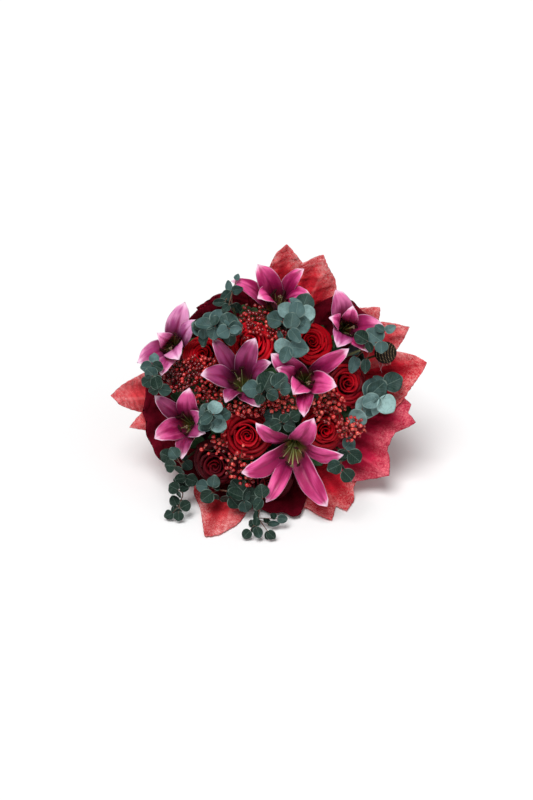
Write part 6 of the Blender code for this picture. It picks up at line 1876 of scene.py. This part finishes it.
def paper_finish(name, deep, bright, pale, alpha):
    """Thin fibre paper: crossed layers of curly fibres in a see-through web, paler where the web is thin,
    with painted shade in its pleats' valleys and painted light on their ridges.
    """
    m = Finish(name, Specular_IOR_Level=0.06)
    strands = fibres(m, 60, 1.1, 0.03, 2.2) * 0.6
    for scale, turn, width, seed in ((26, 0.4, 0.020, 1.3), (34, 1.9, 0.018, 5.1), (21, 2.7, 0.016, 8.7)):
        strands = strands.top(fibres(m, scale, turn, width, seed))
    cloud = m.noise(60, 5.0, 0.7)
    web = m.noise(700, 2.0, 0.5)
    outer = m.along.ramp(0.45, 0.0)
    blotch = m.noise(300, 3.0, 0.65).ramp(0.46, 0.60)
    fading = (strands * 0.6 + cloud.ramp(0.45, 0.68) * 0.30 + blotch * 0.35) * outer
    body = m.layers(
        deep, (bright, (cloud + web * 0.3).ramp(0.35, 0.85)),
        # Painted shade darkens the valleys of the pleats, and painted light brightens their ridges.
        (m.mix(deep, (0.0, 0.0, 0.0), 0.15), m.tone.ramp(0.0, -0.95) * (0.85 - outer * 0.45)),
        (m.mix(bright, pale, 0.25), m.tone.ramp(0.75, 1.05) * 0.5),
        # The pale thin web is painted fainter in the valleys, as part of their painted shade.
        (pale, fading * (1 - m.tone.ramp(0.3, -0.9) * 0.45) + strands * 0.06))
    see = (web.ramp(0.30, 0.70) * 0.1 + strands * 0.3 + m.along.ramp(0.0, 0.35, alpha, 1.0)).low(1.0)
    return m.finish(body, web.ramp(0.3, 0.7, 0.65, 0.85), strands * 0.8 + web * 0.5, 0.0005, 0.6, see)


def twine_finish():
    """Rough natural twine."""
    m = Finish("natural twine", 0.9)
    fuzz = m.noise(1.0, 4.0, 0.7, m.vector(m.across * 3, m.along * 900, m.back * 3))
    body = m.mix((0.20, 0.12, 0.05), (0.46, 0.33, 0.18), fuzz.ramp(0.3, 0.7))
    return m.finish(body, None, fuzz, 0.0005, 0.8)


def ribbon_finish():
    """Satin: fine threads across the band and a soft gloss."""
    m = Finish("satin ribbon", Sheen_Weight=0.3, Anisotropic=0.5)
    thread = (m.along * 230).sine() * 0.5 + (m.across * 1500).sine() * 0.5
    body = m.layers((0.30, 0.004, 0.016),
                    ((0.50, 0.012, 0.035), (thread * 0.3 + m.noise(150)).ramp(0.2, 0.8)),
                    ((0.22, 0.003, 0.012), abs(m.along - 0.5).ramp(0.46, 0.49) * 0.6))
    return m.finish(body, m.noise(120).ramp(0.3, 0.7, 0.28, 0.42), thread, 0.00008, 0.4)


FINISHES = {
    "lily": lily_finish(), "rose": rose_finish(), "stem": stem_finish(), "anther": anther_finish(),
    "eucalyptus": eucalyptus_finish(), "twig": twig_finish(), "berry": berry_finish(), "seed": seed_finish(),
    "grain": grain_finish(), "tendril": tendril_finish(), "twine": twine_finish(), "ribbon": ribbon_finish(),
    "foliage": foliage_finish(), "stalk": stalk_finish(),
    "paper_red": paper_finish("bright red fibre paper", (0.44, 0.001, 0.014), (0.84, 0.014, 0.040),
                              (0.96, 0.44, 0.42), SHEET_ALPHA),
    # The collar: dark crimson paper, made darker all over as painted shade for the shaded paper round the
    # flowers.
    "paper_crimson": paper_finish("crimson fibre paper", (0.060, 0.0, 0.004), (0.125, 0.001, 0.009),
                                  (0.17, 0.004, 0.016), 0.95),
}


# The scene

CAMERA_RANGE = 2580.0       # from the middle of the picture, in millimetres
LENS = 80.0
AIM = (6.5, -11.6, 210.0)   # the middle of the picture, in the bouquet's frame
FLOOR_HALF = 32.0           # half the side of the floor, in metres
WORLD_LIGHT = 0.25


def dress():
    """Every visible piece of the bouquet."""
    stems, waists, sprays, berries, seed, room = arrange()
    named = {stem["name"]: stem for stem in stems}
    for name in LILIES:
        dress_lily(name, named[name], room)
    for name in ROSES:
        dress_rose(name, named[name], room)
    for number, spray in enumerate(sprays):
        dress_spray(spray, room, SPRAY_OWNER + number)
    crowd = [(middle, BERRY_RADIUS) for spray in berries for _, middle in spray["stalks"]]
    for number, spray in enumerate(berries):
        dress_berries(spray, room, BERRY_OWNER + number, crowd)
    dress_foliage(room, stems)
    dress_filler(room, stems)
    dress_seed_head(seed)
    dress_paper("paper_collar", COLLAR, waists, 2, "paper_crimson", 420, 70)
    for number, (name, outline) in enumerate(SHEETS.items()):
        dress_paper(name, outline, waists, 11 + number, "paper_red", 110, 110)
    dress_tie(stems, waists)


def set_camera():
    """A camera that looks along the bouquet's axis, straight at its face."""
    data = bpy.data.cameras.new("camera")
    data.lens = LENS
    camera = bpy.data.objects.new("camera", data)
    bpy.context.scene.collection.objects.link(camera)
    aim = to_world(AIM) / 1000
    place = to_world(np.array(AIM) + [0, 0, CAMERA_RANGE]) / 1000
    camera.location = place
    camera.rotation_mode = "QUATERNION"
    camera.rotation_quaternion = Vector(aim - place).to_track_quat("-Z", "Y")
    bpy.context.scene.camera = camera


def add_sun(name, toward, strength, spread):
    """Soft parallel light that comes from a direction, spread over an angle in degrees."""
    data = bpy.data.lights.new(name, "SUN")
    data.energy, data.angle = strength, radians(spread)
    light = bpy.data.objects.new(name, data)
    bpy.context.scene.collection.objects.link(light)
    light.rotation_mode = "QUATERNION"
    light.rotation_quaternion = (-Vector(toward)).to_track_quat("-Z", "Y")


def set_stage():
    """A plain pale floor and soft studio light."""
    mesh = bpy.data.meshes.new("floor")
    corners = [(x * FLOOR_HALF, y * FLOOR_HALF, 0) for x, y in ((-1, -1), (1, -1), (1, 1), (-1, 1))]
    mesh.from_pydata(corners, [], [(0, 1, 2, 3)])
    floor = bpy.data.objects.new("floor", mesh)
    bpy.context.scene.collection.objects.link(floor)
    m = Finish("pale floor", 0.9)
    mesh.materials.append(m.finish(m.mix((0.90, 0.90, 0.90), (0.92, 0.92, 0.92), m.noise(3.0))))
    world = bpy.data.worlds.new("studio")
    bpy.context.scene.world = world
    world.use_nodes = True
    background = world.node_tree.nodes["Background"]
    background.inputs["Color"].default_value = (1, 1, 1, 1)
    background.inputs["Strength"].default_value = WORLD_LIGHT
    add_sun("key light", (-0.20, -0.55, 1.0), 3.0, 32)
    add_sun("fill light", (0.7, -0.9, 0.8), 0.45, 50)
    bpy.context.scene.view_settings.view_transform = "Standard"


dress()
set_camera()
set_stage()
